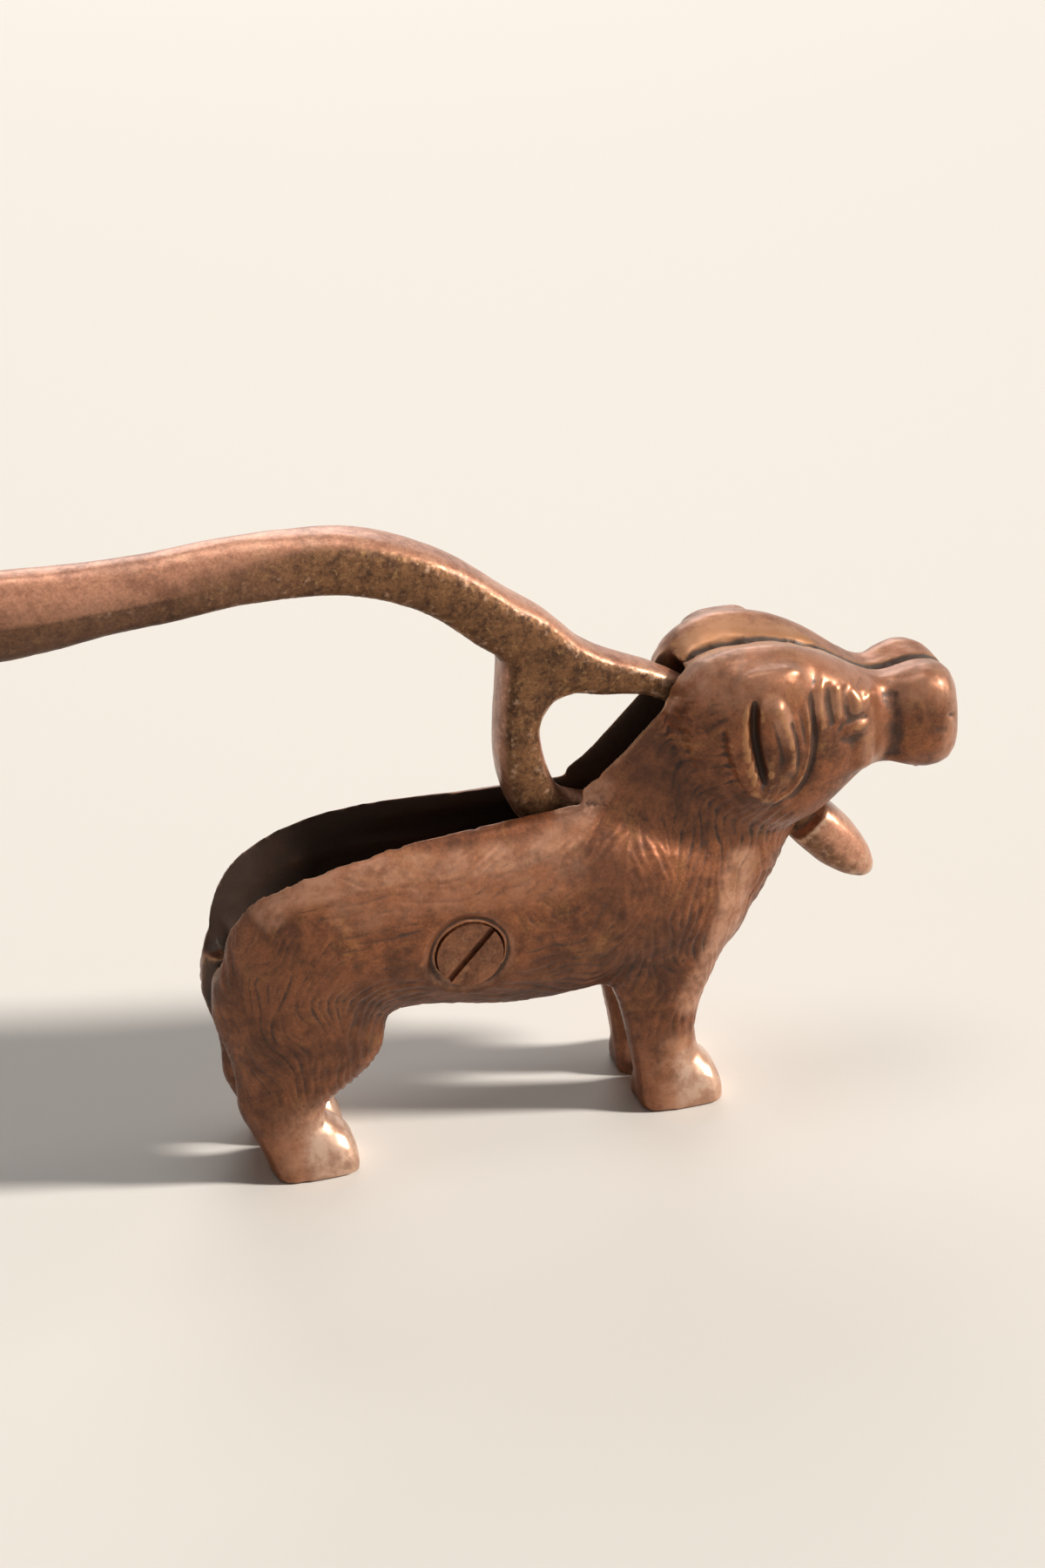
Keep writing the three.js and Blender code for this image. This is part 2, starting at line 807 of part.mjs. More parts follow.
const body = new THREE.Group();
body.add(
  piece('body_half_right', half(casting, -1), castIron),
  piece('body_half_left', half(casting, 1), castIron),
  piece('pivot_pin', crossBar(pinRadius, pivotX, pivotZ, -pinLength / 2, pinLength / 2), brightSteel),
  piece('flank_screw', flankScrew(), wornSteel),
);

const lever = new THREE.Group();
lever.add(piece('tail_lever', tailLever(), castIronLever));

const nutcracker = new THREE.Group();
nutcracker.add(body, lever);

// The origin is on the table, below the middle of the whole length.
const bounds = new THREE.Box3().setFromObject(nutcracker);
nutcracker.position.x = -(bounds.min.x + bounds.max.x) / 2;

export default nutcracker;
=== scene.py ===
from math import radians

import bmesh
import bpy
import numpy as np
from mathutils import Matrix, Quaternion, Vector


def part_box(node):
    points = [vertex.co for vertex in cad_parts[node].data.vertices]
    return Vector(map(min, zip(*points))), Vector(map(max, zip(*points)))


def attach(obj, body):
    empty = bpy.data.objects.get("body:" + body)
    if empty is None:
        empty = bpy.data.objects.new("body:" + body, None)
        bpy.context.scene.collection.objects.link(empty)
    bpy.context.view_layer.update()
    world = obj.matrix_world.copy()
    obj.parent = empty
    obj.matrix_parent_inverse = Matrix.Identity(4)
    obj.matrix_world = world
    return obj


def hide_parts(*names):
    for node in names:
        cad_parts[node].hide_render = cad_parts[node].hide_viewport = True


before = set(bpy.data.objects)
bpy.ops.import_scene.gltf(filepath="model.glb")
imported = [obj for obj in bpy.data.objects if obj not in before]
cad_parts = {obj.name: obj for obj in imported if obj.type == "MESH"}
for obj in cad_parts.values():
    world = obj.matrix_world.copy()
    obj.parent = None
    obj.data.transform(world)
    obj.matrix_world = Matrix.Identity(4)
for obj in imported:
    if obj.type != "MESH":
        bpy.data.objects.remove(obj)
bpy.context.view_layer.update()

mm = 0.001
scene = bpy.context.scene


def boxMiddle(node):
    low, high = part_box(node)
    return (low + high) / 2


pin = boxMiddle("pivot_pin")
screw = boxMiddle("flank_screw")


# Nodes, for light, geometry and finishes alike

def socket(tree, name, kind, inOut="INPUT", value=None):
    item = tree.interface.new_socket(name, in_out=inOut, socket_type=kind)
    if value is not None:
        item.default_value = value


def fill(tree, target, value):
    if isinstance(value, bpy.types.NodeSocket):
        tree.links.new(value, target)
    else:
        target.default_value = value


def place(tree, kind, settings=None, **inputs):
    node = tree.nodes.new(kind)
    for key, value in (settings or {}).items():
        setattr(node, key, value)
    for key, value in inputs.items():  # i0, i1 and i2 are inputs by number, as some share a name
        byNumber = key[0] == "i" and key[1:].isdigit()
        fill(tree, node.inputs[int(key[1:])] if byNumber else node.inputs[key], value)
    return node


def sums(tree, operation, *values):
    numbered = {f"i{index}": value for index, value in enumerate(values)}
    return place(tree, "ShaderNodeMath", {"operation": operation}, **numbered).outputs[0]


# Camera, light and floor

cameraView = {
    "place": (-0.17442, -0.78511, 0.48198),
    "aim": (0.22125, 0.87193, -0.4368),
    "roll": -3.64,  # degrees
    "lens": 85,
    "sensorHeight": 36,
    "clipStart": 0.01,
}


def addCamera():
    data = bpy.data.cameras.new("camera")
    data.lens = cameraView["lens"]
    data.sensor_fit = "VERTICAL"
    data.sensor_height = cameraView["sensorHeight"]
    data.clip_start = cameraView["clipStart"]
    camera = bpy.data.objects.new("camera", data)
    scene.collection.objects.link(camera)
    camera.location = cameraView["place"]
    turn = Vector(cameraView["aim"]).to_track_quat("-Z", "Y")
    camera.rotation_mode = "QUATERNION"
    camera.rotation_quaternion = turn @ Quaternion((0, 0, 1), radians(cameraView["roll"]))
    scene.camera = camera


studio = {
    "aimAt": (0, 0, 0.08),
    "sun": {
        "from": (0.837, -0.305, 0.454),
        "softness": 7,  # degrees
        "strength": 4.7,
        "colour": (1, 0.93, 0.85),
    },
    "boxes": {
        "overhead": {
            "from": (0.12, 0.12, 1),
            "distance": 1.2,
            "size": 0.6,
            "power": 2.6,
            "colour": (1, 0.96, 0.93),
        },
        "behind": {
            "from": (0.2, 0.85, 0.5),
            "distance": 3.0,
            "size": 1.8,
            "power": 22,
            "colour": (1, 0.96, 0.93),
        },
    },
    "worldColour": (1, 0.96, 0.92, 1),
    "worldStrength": 0.08,
    "backgroundStrength": 0.8,  # what the camera and shiny surfaces see of it
}


def addLamp(name, kind, lamp, aimAt, distance):
    data = bpy.data.lights.new(name, kind)
    data.color = lamp["colour"]
    lampObject = bpy.data.objects.new(name, data)
    scene.collection.objects.link(lampObject)
    towards = Vector(lamp["from"]).normalized()
    lampObject.location = aimAt + towards * distance
    lampObject.rotation_euler = (-towards).to_track_quat("-Z", "Y").to_euler()
    return data


def lightStudio():
    aimAt = Vector(studio["aimAt"])
    sun = addLamp("sun", "SUN", studio["sun"], aimAt, 1)
    sun.energy = studio["sun"]["strength"]
    sun.angle = radians(studio["sun"]["softness"])
    for name, box in studio["boxes"].items():
        softbox = addLamp(name, "AREA", box, aimAt, box["distance"])
        softbox.shape = "DISK"
        softbox.size = box["size"]
        softbox.energy = box["power"]
    world = bpy.data.worlds.new("studio")
    scene.world = world
    world.use_nodes = True
    tree = world.node_tree
    sky = tree.nodes["Background"]
    sky.inputs["Color"].default_value = studio["worldColour"]
    rays = place(tree, "ShaderNodeLightPath").outputs
    seen = sums(tree, "MAXIMUM", rays["Is Camera Ray"], rays["Is Glossy Ray"])
    seen = sums(tree, "MAXIMUM", seen, rays["Is Transmission Ray"])
    strengths = {"To Min": studio["worldStrength"], "To Max": studio["backgroundStrength"]}
    strength = place(tree, "ShaderNodeMapRange", Value=seen, **strengths).outputs[0]
    tree.links.new(strength, sky.inputs["Strength"])
    scene.view_settings.view_transform = "Standard"


floorLook = {"reach": 3, "colour": (0.86, 0.84, 0.8, 1), "roughness": 0.85}


def addFloor():
    mesh = bpy.data.meshes.new("floor")
    reach = floorLook["reach"]
    corners = [(-reach, -reach, 0), (reach, -reach, 0), (reach, reach, 0), (-reach, reach, 0)]
    mesh.from_pydata(corners, [], [(0, 1, 2, 3)])
    floor = bpy.data.objects.new("floor", mesh)
    scene.collection.objects.link(floor)
    paintedHighlight = bpy.data.materials.new("paleFloor")
    paintedHighlight.use_nodes = True
    shader = paintedHighlight.node_tree.nodes["Principled BSDF"]
    shader.inputs["Base Color"].default_value = floorLook["colour"]
    shader.inputs["Roughness"].default_value = floorLook["roughness"]
    mesh.materials.append(paintedHighlight)


addCamera()
lightStudio()
addFloor()
print("stage set")


# Castings: the two half shells and the lever, with the soft edges and filled corners of sand castings

casting = {
    "weld": 0.001 * mm,
    "shellGrid": 0.57 * mm,
    "leverGrid": 0.5 * mm,
    "mostTriangles": 196000,
    "hiddenFirst": 1000,  # how much sooner hidden faces are thinned than shown ones
    "evenPasses": 7,
    "evenPulls": (0.6, -0.63),  # in and out again, so that nothing shrinks
    "sharpPasses": 13,
    "edgePasses": 34,
    "cornerPasses": 90,
    "edgeRound": 0.35 * mm,  # taken down evenly before an edge keeps its crispness
    "cornerFill": 3.0 * mm,  # most that a hollow corner is filled up
    "fillEase": 2 * mm,
    "shiftPasses": 2,
    "rimEdge": (0.3, 0.8),  # millimetres that smoothing would take off a sharp rim
    "rimSpread": 5,
    "rimGain": 2.5,
    "rimPasses": 8,
    "rimPull": 0.6,
    "reliefPasses": 14,
}


def meshCopy(node, name):
    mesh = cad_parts[node].data.copy()
    mesh.name = name
    work = bmesh.new()
    work.from_mesh(mesh)
    bmesh.ops.remove_doubles(work, verts=work.verts, dist=casting["weld"])
    work.to_mesh(mesh)
    work.free()
    mesh.materials.clear()
    piece = bpy.data.objects.new(name, mesh)
    scene.collection.objects.link(piece)
    return piece


def bakeModifiers(piece):
    bpy.context.view_layer.update()
    graph = bpy.context.evaluated_depsgraph_get()
    evaluated = piece.evaluated_get(graph)
    fine = bpy.data.meshes.new_from_object(evaluated, preserve_all_data_layers=True, depsgraph=graph)
    piece.modifiers.clear()
    piece.data = fine
    return fine


def gridMesh(piece, grid):
    remesh = piece.modifiers.new("grid", "REMESH")
    remesh.mode = "VOXEL"
    remesh.voxel_size = grid
    remesh.adaptivity = 0
    return bakeModifiers(piece)


def thinHidden(piece, hidden):
    triangles = 2 * len(piece.data.polygons)
    if triangles <= casting["mostTriangles"]:
        return piece.data
    group = piece.vertex_groups.new(name="hidden")
    group.add(np.flatnonzero(hidden).tolist(), 1.0, "REPLACE")
    thin = piece.modifiers.new("thin", "DECIMATE")
    thin.ratio = casting["mostTriangles"] / triangles
    thin.vertex_group = group.name
    thin.vertex_group_factor = casting["hiddenFirst"]
    mesh = bakeModifiers(piece)
    piece.vertex_groups.clear()
    return mesh


def pointsOf(mesh):
    points = np.empty(len(mesh.vertices) * 3, np.float32)
    mesh.vertices.foreach_get("co", points)
    return points.reshape(-1, 3).astype(float)


def normalsOf(mesh):
    normals = np.empty(len(mesh.vertices) * 3, np.float32)
    mesh.vertex_normals.foreach_get("vector", normals)
    return normals.reshape(-1, 3).astype(float)


def edgesOf(mesh):
    ends = np.empty(len(mesh.edges) * 2, np.int32)
    mesh.edges.foreach_get("vertices", ends)
    return ends.reshape(-1, 2)


def setPoints(mesh, points):
    mesh.vertices.foreach_set("co", points.astype(np.float32).ravel())
    mesh.update()


def setField(mesh, name, values):
    field = mesh.attributes.get(name) or mesh.attributes.new(name, "FLOAT", "POINT")
    field.data.foreach_set("value", values.astype(np.float32))


def smoothShaded(mesh):
    mesh.polygons.foreach_set("use_smooth", [True] * len(mesh.polygons))


def relaxed(values, edges, passes, pull=0.9):
    values = values.copy()
    first, second = edges[:, 0], edges[:, 1]
    count = len(values)
    share = 1 / np.bincount(edges.ravel(), minlength=count)
    for _ in range(passes):
        for column in values.T:
            total = np.bincount(first, column[second], count) + np.bincount(second, column[first], count)
            column += pull * (total * share - column)
    return values


def spread(values, edges, passes):
    return relaxed(values[:, None], edges, passes)[:, 0]


def evened(points, edges, passes, pulls):
    for _ in range(passes):
        points = relaxed(relaxed(points, edges, 1, pulls[0]), edges, 1, pulls[1])
    return points


def ramp(values, low, high):
    t = np.clip((values - low) / (high - low), 0, 1)
    return t * t * (3 - 2 * t)


def roundCasting(mesh, fillFrom):
    setPoints(mesh, evened(pointsOf(mesh), edgesOf(mesh), casting["evenPasses"], casting["evenPulls"]))
    points, normals, edges = pointsOf(mesh), normalsOf(mesh), edgesOf(mesh)
    crisp = relaxed(points, edges, casting["sharpPasses"])
    soft = relaxed(crisp, edges, casting["edgePasses"] - casting["sharpPasses"])
    softer = relaxed(soft, edges, casting["cornerPasses"])
    least, down, up = [np.sum((smooth - points) * normals, axis=1) for smooth in (crisp, soft, softer)]
    shift = np.maximum(down, np.minimum(least, -casting["edgeRound"]))
    outside = np.clip((np.abs(points[:, 1]) - fillFrom) / casting["fillEase"], 0, 1)
    filled = np.minimum(up, casting["cornerFill"]) * outside
    shift = spread(np.where(filled > shift, filled, shift), edges, casting["shiftPasses"])
    points += normals * shift[:, None]
    sharp = spread(ramp(-down / mm, *casting["rimEdge"]), edges, casting["rimSpread"])
    sharp = np.clip(casting["rimGain"] * sharp, 0, 1)
    even = relaxed(points, edges, casting["rimPasses"], casting["rimPull"])
    points += (even - points) * sharp[:, None]
    points[:, 2] = np.maximum(points[:, 2], 0)
    setPoints(mesh, points)
    return sharp


# Side-view places are in millimetres from the pin, forward and up. A pair of numbers says where an effect
# starts and where it is full: in millimetres, or on normals where its name says turned.

def sideView(points):
    return (points[:, 0] - pin.x) / mm, (points[:, 2] - pin.z) / mm


def fromSeam(points):
    return np.abs(points[:, 1]) / mm


def turnedOut(points, normals):
    return normals[:, 1] * np.sign(points[:, 1])


def curveThrough(line, steps=6):
    line = np.array(line, float)
    padded = np.vstack([line[0], line, line[-1]])
    t = np.linspace(0, 1, steps, endpoint=False)[:, None]
    out = []
    for a, b, c, d in zip(padded, padded[1:], padded[2:], padded[3:]):
        square = 2 * a - 5 * b + 4 * c - d
        cubic = 3 * b - a - 3 * c + d
        out.append(0.5 * (2 * b + (c - a) * t + square * t**2 + cubic * t**3))
    return np.vstack(out + [line[-1:]])


def nearLine(x, z, line):
    path = curveThrough(line)
    best = np.full(len(x), np.inf)
    along = np.zeros(len(x))
    lengths = np.hypot(*(path[1:] - path[:-1]).T)
    done = 0
    for (ax, az), (bx, bz), length in zip(path, path[1:], lengths):
        share = np.clip(((x - ax) * (bx - ax) + (z - az) * (bz - az)) / max(length**2, 1e-9), 0, 1)
        gap = np.hypot(x - ax - share * (bx - ax), z - az - share * (bz - az))
        closer = gap < best
        best = np.where(closer, gap, best)
        along = np.where(closer, done + share * length, along)
        done += length
    return best, along / done


def closeTo(x, z, line, reach, core=0.4):
    gap, _ = nearLine(x, z, line)
    return 1 - ramp(gap, reach * core, reach)


# Carved on the pattern: a line, half width and height. A groove has a height below zero.
carving = {
    "earRim": (
        [(-8.6, 27), (-10.4, 22), (-10.6, 17), (-8.6, 9.4), (-4.9, 3.6), (-1.0, 1.6), (3.8, 3.2),
         (7.4, 8.4), (8.3, 15), (8.2, 22), (7.4, 28)],
        2.0, 0.7,
    ),
    "earHollowRim": ([(-6.4, 28.2), (-8.0, 23), (-8.2, 18), (-7.4, 12), (-5.2, 5.6)], 1.7, 0.8),
    "earHollow": ([(-5.0, 29.6), (-5.8, 24), (-5.6, 18), (-4.6, 12), (-3.2, 5.4)], 1.7, -1.9),
    "earFold": ([(-1.2, 28.4), (1.0, 23.6), (2.6, 18.6), (3.6, 13), (2.6, 7)], 3.0, 1.2),
    "earFoldCut": ([(2.9, 23), (4.3, 18), (5.1, 12.6), (4.6, 8)], 1.3, -0.7),
    "earCrest": ([(4.2, 24), (5.7, 18), (6.2, 12), (5.4, 7.4)], 1.4, 0.5),
    "earEdge": ([(9.4, 28), (10.2, 20), (9.8, 12), (7.6, 5), (3.0, 0)], 1.8, -0.9),
    "brow": ([(11.0, 29), (14.8, 27.6), (18.6, 25.2), (22.6, 21.6), (26, 19.4)], 4.2, 0.8),
    "browRidge": ([(12.2, 29), (12.0, 23), (12.8, 16)], 2.3, 0.55),
    "browCrease": ([(14.6, 28), (14.6, 22), (15.6, 16.4)], 2.0, -0.5),
    "browSecondRidge": ([(16.8, 27), (17.0, 22), (17.8, 18)], 2.0, 0.5),
    "browSecondCrease": ([(19.2, 26), (19.4, 21.6), (19.8, 17.6)], 2.0, -0.5),
    "browThirdRidge": ([(21.4, 24.6), (21.8, 18.6)], 1.8, 0.4),
    "browThirdCrease": ([(23.6, 22.6), (23.6, 17.4)], 1.8, -0.4),
    "lidCrease": ([(16.2, 14.4), (18.8, 16.8), (22.2, 17.4), (25.6, 16.4)], 1.5, -0.35),
    "lowerLid": ([(16.4, 13.6), (19.8, 12.0), (23.4, 12.0), (26.6, 13.6)], 1.8, -0.25),
    "stopEdge": ([(24.6, 24), (25.2, 16), (25.4, 10), (24.0, 1)], 5.4, 1.7),
    "stopGroove": ([(33.2, 22), (34.0, 12), (33.4, 0)], 4.4, -1.0),
    "noseEdge": ([(42.6, 17.4), (42.0, 13.2), (43.8, 9.6), (48.4, 7.6)], 1.8, -0.3),
}
# Swellings and hollows: the middle, half length, half height, tilt in degrees and how far they stand out
swellings = {
    "eyeBall": ((21.6, 14.8), 3.4, 2.0, 6, 0.85),
    "earHollowDeep": ((-4.4, 17.5), 10, 3.0, 98, -1.5),
    "nostril": ((48.4, 11.4), 1.8, 1.1, -30, -0.6),
    "cheek": ((17, 6), 8, 5.5, -20, 0.6),
    "lip": ((41, 5), 7, 4.2, 0, 0.6),
}
carvedEnds = 2.6  # how fast a carved line fades in and out
swellingEdge = 1.5
headRegion = {"along": (-14, 56), "up": (-6, 36), "fromSeam": (7, 10), "turned": (-0.1, 0.25)}


def stroke(x, z, line, half, height):
    gap, along = nearLine(x, z, line)
    fade = np.clip(np.sin(np.pi * np.clip(along, 0, 1)) * carvedEnds, 0, 1)
    return height * fade * np.clip(1 - (gap / half) ** 2, 0, 1) ** 2


def blob(x, z, middle, halfLong, halfTall, tilt, height):
    turn = radians(tilt)
    along = (x - middle[0]) * np.cos(turn) + (z - middle[1]) * np.sin(turn)
    across = (z - middle[1]) * np.cos(turn) - (x - middle[0]) * np.sin(turn)
    return height * np.clip(1 - (along / halfLong) ** 2 - (across / halfTall) ** 2, 0, 1) ** swellingEdge


def carveHead(points, normals):
    x, z = sideView(points)
    side = ramp(turnedOut(points, normals), *headRegion["turned"])
    outer = ramp(fromSeam(points), *headRegion["fromSeam"]) * side
    back, front = headRegion["along"]
    bottom, top = headRegion["up"]
    part = np.flatnonzero((x > back) & (x < front) & (z > bottom) & (z < top) & (outer > 0))
    height = np.zeros(len(points))
    x, z = x[part], z[part]
    for line, half, amount in carving.values():
        height[part] += stroke(x, z, line, half, amount)
    for middle, halfLong, halfTall, tilt, amount in swellings.values():
        height[part] += blob(x, z, middle, halfLong, halfTall, tilt, amount)
    return height * outer * mm


# Stretches smoothed over, with the distances from the seam where the smoothing starts and is full
crown = {
    "line": [(-12, 34), (-4, 39), (8, 41), (22, 36), (34, 27), (50, 28)],
    "reach": 17,
    "fromSeam": (1.5, 4),
    "passes": 45,
    "pulls": (0.6, -0.62),
}
earTop = {
    "line": [(-9.6, 25.5), (-5, 29.6), (1.5, 31), (7.4, 28.4), (9.4, 23)],
    "reach": 6.5,
    "fromSeam": (11, 13),
    "passes": 70,
}
blendRegion = {"along": (-24, 56), "above": 8}


def blendShare(points, stretch):
    x, z = sideView(points)
    share = np.zeros(len(points))
    back, front = blendRegion["along"]
    part = np.flatnonzero((x > back) & (x < front) & (z > blendRegion["above"]))
    nearby = closeTo(x[part], z[part], stretch["line"], stretch["reach"])
    share[part] = nearby * ramp(fromSeam(points[part]), *stretch["fromSeam"])
    return share[:, None]


def blendHead(points, edges):
    even = evened(points, edges, crown["passes"], crown["pulls"])
    points = points + (even - points) * blendShare(points, crown)
    soft = relaxed(points, edges, earTop["passes"])
    return points + (soft - points) * blendShare(points, earTop)


# The seam groove is narrow and shallow on the body. A share is what the body has and what the head adds.
seamGroove = {
    "half": 1.7 * mm,
    "depth": 0.9 * mm,
    "halfShare": (0.7, 0.3),
    "depthShare": (0.4, 0.6),
    "turned": (0.25, 0.6),
}
seamOnHead = {"lean": 0.6, "from": (2, 9), "above": (-6, -3)}


def headSeam(points):
    x, z = sideView(points)
    return ramp(x + seamOnHead["lean"] * z, *seamOnHead["from"]) * ramp(z, *seamOnHead["above"])


def cutSeam(points, normals):
    outward = normals.copy()
    outward[:, 1] = 0
    length = np.linalg.norm(outward, axis=1)
    outward /= np.maximum(length, 1e-6)[:, None]
    onHead = headSeam(points)
    body, head = seamGroove["halfShare"]
    half = seamGroove["half"] * (body + head * onHead)
    profile = np.clip(1 - (np.abs(points[:, 1]) / half) ** 2, 0, 1)
    depth = seamGroove["depth"] * profile * ramp(length, *seamGroove["turned"])
    body, head = seamGroove["depthShare"]
    return -outward * (depth * (body + head * onHead))[:, None]


screwBore = {  # millimetres
    "radius": 9.8,
    "chamfer": 2.0,
    "depth": 1.1,
    "turned": (0.6, 0.9),
    "flank": -15,  # the flank that carries the screw lies beyond this
    "rubAndSheenCore": 0.4,
    "rubAndSheen": 0.3,
}


def awayFromScrew(points):
    return np.hypot(points[:, 0] - screw.x, points[:, 2] - screw.z) / mm


def chamferBore(points, normals):
    rim = 1 - np.clip((awayFromScrew(points) - screwBore["radius"]) / screwBore["chamfer"], 0, 1)
    facing = ramp(-normals[:, 1], *screwBore["turned"]) * (points[:, 1] < screwBore["flank"] * mm)
    points[:, 1] += rim * facing * screwBore["depth"] * mm


# Rubbed bright by hands, with painted sheen and highlights where the light falls: a line, its reach and how
# bright
rubAndSheenLines = {
    "slotRim": ([(-126, -9), (-118, -4.3), (-95.3, -2.4), (-73.9, -4), (-53.5, -3), (-40, 6)], 4.2, 0.6),
    "back": ([(-106, -9), (-88, -8), (-70, -9), (-54, -9)], 8, 0.25),
    "neckRim": ([(-50, 1), (-40, 9.5), (-30, 19), (-20, 29), (-13, 35)], 3, 0.7),
    "chest": ([(-7.6, -18), (-10.9, -31), (-15.3, -43), (-21, -53)], 6.5, 0.75),
    "earFold": ([(-1.2, 28.4), (1.0, 23.6), (2.6, 18.6)], 3.6, 0.6),
    "face": ([(12, 24), (22, 21), (27, 14), (27, 3)], 5.5, 0.45),
    "skull": ([(-12, 36), (4, 38), (20, 33), (34, 25), (48, 24)], 13, 0.4),
    "nose": ([(50, 20), (51, 10), (48, -2)], 6, 0.5),
}
rubAndSheenSides = {"turned": (-0.3, 0.2), "crest": (0.1, 0.4), "headFrom": (-14, 0)}
# Paws: the toes, and the tops and fronts that face the light, take a painted highlight
pawRubAndSheen = {
    "between": -80,  # between the fore and the hind paws
    "foreToes": (-37, -24),
    "hindToes": (-133, -119),
    "below": (58, 70),
    "upward": (0.1, 0.7),
    "litTops": 0.85,
}


# Share of rubbed metal and painted sheen: the lines, the screw's chamfer, upturned head surfaces and the paws
def rubbedAndSheen(points, normals):
    x, z = sideView(points)
    headX, headZ = rubAndSheenSides["headFrom"]
    outward = ramp(turnedOut(points, normals), *rubAndSheenSides["turned"])
    crest = ramp(normals[:, 2], *rubAndSheenSides["crest"]) * (x > headX) * (z > headZ)
    share = np.zeros(len(points))
    for line, reach, amount in rubAndSheenLines.values():
        share = np.maximum(share, amount * closeTo(x, z, line, reach))
    away = awayFromScrew(points) - screwBore["radius"]
    core = screwBore["rubAndSheenCore"] * screwBore["chamfer"]
    bore = (1 - ramp(away, core, screwBore["chamfer"])) * (points[:, 1] < 0)
    share = np.maximum(share, screwBore["rubAndSheen"] * bore) * np.maximum(outward, crest)
    toes = np.where(
        x > pawRubAndSheen["between"],
        ramp(x, *pawRubAndSheen["foreToes"]),
        ramp(x, *pawRubAndSheen["hindToes"]),
    )
    litTops = pawRubAndSheen["litTops"] * ramp(normals[:, 0] + normals[:, 2], *pawRubAndSheen["upward"])
    paws = ramp(-z, *pawRubAndSheen["below"]) * np.maximum(toes, litTops)
    return np.maximum(share, paws)


# Painted shade in the hollows, on the underside and on the neck behind the head: a line, its reach and how
# dark
paintedShadeSpots = {
    "belly": ([(-118, -44), (-96, -34), (-70, -40), (-45, -40)], 15, 0.9),
    "thigh": ([(-130, -30), (-122, -46), (-126, -66)], 18, 0.85),
    "neck": ([(-34, 20), (-28, 8), (-16, 0), (-6, -6)], 13, 0.8),
    "elbow": ([(-34, -44), (-33, -62)], 8, 0.5),
    "haunch": ([(-126, -18), (-112, -32), (-110, -46)], 13, 0.6),
    "shoulder": ([(-42, -12), (-36, -26), (-28, -42)], 13, 0.65),
    "earHollow": ([(-5.2, 28), (-5.8, 20), (-4.4, 10)], 3.4, 1.0),
}
paintedShadeLie = {"under": 0.6, "underTurned": (0.2, 0.8), "core": 0.3, "abovePaws": (-74, -64)}


def paintedShadeShare(points, normals):
    x, z = sideView(points)
    # painted shade on surfaces turned downward
    share = paintedShadeLie["under"] * ramp(-normals[:, 2], *paintedShadeLie["underTurned"])
    for line, reach, amount in paintedShadeSpots.values():
        share = np.maximum(share, amount * closeTo(x, z, line, reach, paintedShadeLie["core"]))
    return share * ramp(z, *paintedShadeLie["abovePaws"])


# Hair of the coat: strokes that follow the lie of the hair, rows of place and direction in degrees
coat = {
    "cell": 0.4,  # millimetres
    "from": (-150, -90),
    "cells": (430, 300),
    "strokeSteps": 14,
    "wave": 24,  # degrees
    "waveSize": 8,  # cells
    "strandSize": (0.85, 1.9),  # cells
    "level": 1.6,  # times a thick strand, over which the height is evened out
    "contrast": 1.1,
    "reach": 11,  # millimetres that a row of the lie acts over
    "seed": 4,
    "lie": [
        (-114, -1, 15), (-94, 3, 3), (-74, 1, 0), (-54, 1, 10),
        (-104, -13, 20), (-89, -15, 10), (-74, -17, 2), (-59, -17, 8), (-46, -13, 28),
        (-94, -31, 0), (-79, -37, 2), (-64, -38, 4), (-49, -35, 12),
        (-124, -8, 45), (-132, -23, 80), (-119, -21, 58), (-109, -25, 38), (-102, -35, 62),
        (-114, -38, 82), (-124, -38, 95), (-106, -45, 108), (-116, -53, 95), (-124, -63, 90),
        (-39, -8, 45), (-44, -23, 62), (-34, -23, 84), (-29, -33, 104), (-39, 7, 50), (-29, 7, 52),
        (-19, 5, 48), (-24, 17, 42), (-14, -8, 60), (-6, -15, 70), (-9, -28, 78), (-16, -38, 88),
        (-26, -48, 98), (-26, -63, 90),
    ],
}
# The strokes of the side view are led round the chest and the rump, and over the back.
coatWrap = {
    "half": 22,  # millimetres from the seam to the flank
    "round": 0.7,
    "chest": (-30, -8),
    "rump": (112, 128),  # behind the pin
    "over": 0.6,
    "backTurned": (0.3, 0.8),
}
# Where the hair runs out. Ramps are in millimetres, or on normals where they say turned.
coatEdges = {
    "turned": (-0.15, 0.25),
    "fromSeam": (5.5, 8.5),
    "endTurned": (0.3, 0.7),
    "chestBelow": -8,
    "rumpBehind": -110,
    "endFromSeam": (0.6, 2.5),
    "backTurned": (0.55, 0.85),
    "backBehind": -45,
    "headLean": 0.55,
    "headFrom": (1, 6),
    "headAbove": (-12, -6),
    "abovePaws": (-71, -62),
    "rubbedAt": (-36, -2),
    "rubbedReach": 10,
    "rubbed": 0.65,
    "screwThin": (12, 16),
    "screwShare": (0.35, 0.65),
    "screwBare": (11.6, 12.4),
}


def blurred(grid, size):
    for axis in (0, 1):
        frequency = np.fft.fftfreq(grid.shape[axis])
        kernel = np.exp(-2 * (np.pi * frequency * size) ** 2)
        waves = np.fft.fft(grid, axis=axis) * (kernel[:, None] if axis == 0 else kernel[None, :])
        grid = np.fft.ifft(waves, axis=axis).real
    return grid


def sampleGrid(grid, column, row):
    column = np.clip(column, 0, grid.shape[0] - 1.001)
    row = np.clip(row, 0, grid.shape[1] - 1.001)
    i, j = column.astype(int), row.astype(int)
    a, b = column - i, row - j
    low = grid[i, j] * (1 - a) + grid[i + 1, j] * a
    high = grid[i, j + 1] * (1 - a) + grid[i + 1, j + 1] * a
    return low * (1 - b) + high * b


